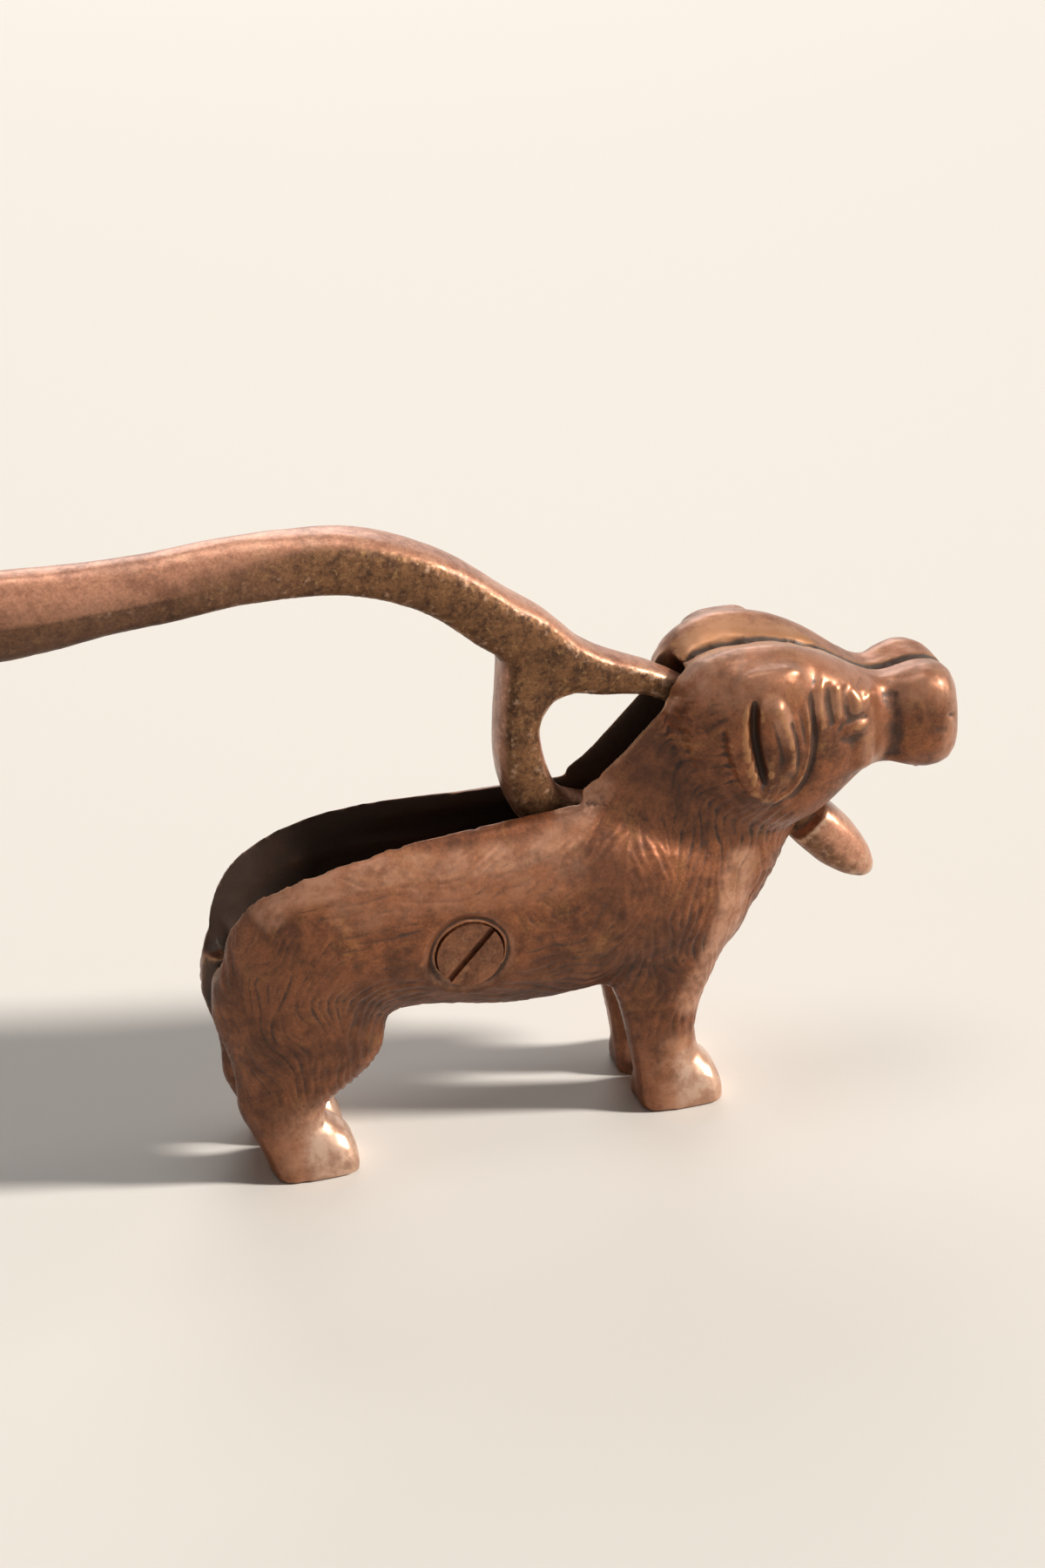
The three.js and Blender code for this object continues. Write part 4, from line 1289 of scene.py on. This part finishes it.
def shellIron(look):
    material, tree, shader, where = newMaterial("shellIron")
    ground = useGroup(tree, patina, Place=where, **look["ground"])
    # patches of the rubbed and painted sheen share
    rubbed = mapRange(tree, noiseOf(tree, where, *look["rubNoise"]), *look["rubChange"])
    touched = attributeOf(tree, "rubAndSheen")
    rubAndSheen = sums(tree, "MULTIPLY", touched, rubbed)
    # painted shade, patchy with the tone
    patchy = mapRange(tree, ground["Tone"], *look["paintedShadeChange"])
    shadeShare = sums(tree, "MULTIPLY", attributeOf(tree, "paintedShade"), patchy)
    shown = mixColour(tree, shadeShare, ground["Colour"], look["paintedShade"])
    shown = mixColour(tree, rubAndSheen, shown, look["rubbedAndSheen"])
    # painted highlight where the rub and sheen share is high, mostly on the paws
    highlightShare = mapRange(tree, rubbed, *look["highlightRubbed"])
    highlightShare = sums(tree, "MULTIPLY", mapRange(tree, touched, *look["highlightFromShare"]), highlightShare)
    shown = mixColour(tree, highlightShare, shown, look["paintedHighlight"])
    relief = attributeOf(tree, "relief")
    aged = useGroup(tree, reliefWear, Place=where, Relief=relief, Colour=shown, **look["wear"])
    grain = useGroup(tree, castGrain, Place=where)
    across = sums(tree, "ABSOLUTE", place(tree, "ShaderNodeSeparateXYZ", Vector=where).outputs["Y"])
    width = sums(tree, "MULTIPLY_ADD", attributeOf(tree, "headSeam"), look["seamOnHead"], look["seamWidth"])
    seam = mapRange(tree, sums(tree, "DIVIDE", across, width), *look["seamChange"])
    # painted shade inside the halves, joined with the dark seam line
    shadeAndSeam = sums(tree, "MULTIPLY", attributeOf(tree, "insideShade"), look["shadeAndSeam"])
    shadeAndSeam = sums(tree, "MAXIMUM", shadeAndSeam, seam)
    colour = mixColour(tree, shadeAndSeam, aged["Colour"], look["wear"]["Dirt"])
    # dirt in the hollows together with the painted shade
    dirtAndShade = sums(tree, "MAXIMUM", aged["Dirt Mask"], shadeAndSeam)
    freeOfDirtAndShade = sums(tree, "SUBTRACT", 1.0, dirtAndShade)
    metallic = sums(tree, "MULTIPLY_ADD", aged["Worn Mask"], look["metallicWorn"], look["metallic"])
    metallic = sums(tree, "MULTIPLY", metallic, freeOfDirtAndShade)
    rough = mapRange(tree, ground["Tone"], *look["roughChange"])
    rough = sums(tree, "SUBTRACT", rough, sums(tree, "MULTIPLY", rubAndSheen, look["roughRubAndSheen"]))
    rough = sums(tree, "MULTIPLY_ADD", dirtAndShade, look["roughDirtAndShade"], rough)
    wax = sums(tree, "MULTIPLY_ADD", rubAndSheen, look["waxRubAndSheen"], look["wax"])
    wax = sums(tree, "MULTIPLY", wax, freeOfDirtAndShade)
    joinUp(tree, shader, colour, metallic, rough, grain["Height"], look["bump"], wax)
    return material


leverIronLook = {
    # the handled top: smooth and rubbed, and coloured lighter as if lit
    "handledAndLit": {
        "Deep": (0.24, 0.095, 0.05, 1),
        "Middle": (0.5, 0.23, 0.135, 1),
        "Blotch": (0.55, 0.32, 0.19, 1),
        "Cloud": 40,
        "Mottle": 420,
        "Blotches": 0.45,
    },
    # the rough sides and underside: sand-cast, and coloured darker as if in shade
    "rough": {
        "Deep": (0.055, 0.022, 0.009, 1),
        "Middle": (0.2, 0.09, 0.036, 1),
        "Blotch": (0.36, 0.2, 0.08, 1),
        "Cloud": 230,
        "Mottle": 900,
        "Blotches": 0.8,
    },
    "wear": {
        "Dirt": (0.02, 0.009, 0.004, 1),
        "Worn": (0.6, 0.38, 0.25, 1),
        "Dirt_Depth": 0.2,
        "Worn_Height": 0.24,
        "Worn_Share": 0.85,
    },
    "grain": {"Grain": 800, "Pits": 300},
    "darkGrip": 0.55,
    "metallic": 0.55,
    "metallicWorn": 0.25,
    "roughness": 0.6,
    "roughHandledAndLit": 0.2,
    "roughChange": (0.35, 0.65, 0.05, -0.06),
    "roughWorn": 0.12,
    "smoothHandledAndLit": 0.8,
    "wax": 0.35,
    "bump": {"Strength": 0.6, "Distance": 0.15 * mm},
}


def leverIron(look):
    material, tree, shader, where = newMaterial("leverIron")
    handledAndLit = attributeOf(tree, "handledAndLit")
    handledAndLitGround = useGroup(tree, patina, Place=where, **look["handledAndLit"])
    roughAndShadedGround = useGroup(tree, patina, Place=where, **look["rough"])
    dim = less(tree, attributeOf(tree, "dark"), look["darkGrip"])
    # painted light: lit colour on the handled top, shaded colour on the sides and underside
    colour = mixColour(tree, handledAndLit, scaled(tree, roughAndShadedGround["Colour"], dim), handledAndLitGround["Colour"])
    relief = attributeOf(tree, "relief")
    aged = useGroup(tree, reliefWear, Place=where, Relief=relief, Colour=colour, **look["wear"])
    grain = useGroup(tree, castGrain, Place=where, **look["grain"])
    metallic = sums(tree, "MULTIPLY_ADD", aged["Worn Mask"], look["metallicWorn"], look["metallic"])
    metallic = sums(tree, "MULTIPLY", metallic, sums(tree, "SUBTRACT", 1.0, aged["Dirt Mask"]))
    handledAndLitLess = sums(tree, "MULTIPLY", handledAndLit, look["roughHandledAndLit"])
    rough = sums(tree, "SUBTRACT", look["roughness"], handledAndLitLess)
    rough = sums(tree, "ADD", rough, mapRange(tree, handledAndLitGround["Tone"], *look["roughChange"]))
    rough = sums(tree, "SUBTRACT", rough, sums(tree, "MULTIPLY", aged["Worn Mask"], look["roughWorn"]))
    height = sums(tree, "MULTIPLY", grain["Height"], less(tree, handledAndLit, look["smoothHandledAndLit"]))
    wax = sums(tree, "MULTIPLY", handledAndLit, look["wax"])
    joinUp(tree, shader, aged["Colour"], metallic, rough, height, look["bump"], wax)
    return material


screwLook = {
    "ground": {
        "Deep": (0.08, 0.03, 0.015, 1),
        "Middle": (0.24, 0.098, 0.048, 1),
        "Blotch": (0.34, 0.18, 0.09, 1),
        "Cloud": 90,
        "Blotches": 0.6,
    },
    "metallic": 0.6,
    "roughChange": (0.35, 0.65, 0.52, 0.35),
    "bump": {"Strength": 0.3, "Distance": 0.08 * mm},
}
pinLook = {
    "ground": {
        "Deep": (0.2, 0.17, 0.14, 1),
        "Middle": (0.42, 0.38, 0.34, 1),
        "Blotch": (0.16, 0.08, 0.04, 1),
        "Cloud": 90,
        "Blotches": 0.6,
    },
    "metallic": 0.95,
    "roughChange": (0.35, 0.65, 0.4, 0.23),
    "bump": {"Strength": 0.15, "Distance": 0.03 * mm},
}
turning = {
    "grain": {"Grain": 1400, "Pits": 700},
    "stretch": (1.0, 9.0, 1.0),
    "noise": (500.0, 2.0),
    "depth": 0.5,
    "pitted": 0.5,
}


def turnedSteel(name, look):
    material, tree, shader, where = newMaterial(name)
    ground = useGroup(tree, patina, Place=where, **look["ground"])
    grain = useGroup(tree, castGrain, Place=where, **turning["grain"])
    stretched = place(tree, "ShaderNodeMapping", Vector=where, Scale=turning["stretch"]).outputs[0]
    lathe = noiseOf(tree, stretched, *turning["noise"])
    height = sums(tree, "MULTIPLY_ADD", lathe, turning["depth"], grain["Height"])
    metallic = sums(tree, "MULTIPLY", less(tree, grain["Pit Mask"], turning["pitted"]), look["metallic"])
    roughness = mapRange(tree, ground["Tone"], *look["roughChange"])
    joinUp(tree, shader, ground["Colour"], metallic, roughness, height, look["bump"])
    return material


shellMaterial = shellIron(shellIronLook)
strokes = coatStrokes()
shellCasting("body_half_right", "shellRight", strokes, shellMaterial)
shellCasting("body_half_left", "shellLeft", strokes, shellMaterial)
ridges = palateTree()
ridgePalate("palateRight", -1.0, ridges, shellMaterial)
ridgePalate("palateLeft", 1.0, ridges, shellMaterial)
leverCasting(leverIron(leverIronLook))
for node, finish in (
    ("flank_screw", turnedSteel("screwSteel", screwLook)),
    ("pivot_pin", turnedSteel("pinSteel", pinLook)),
):
    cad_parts[node].data.materials.clear()
    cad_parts[node].data.materials.append(finish)
    print(node, "finished")
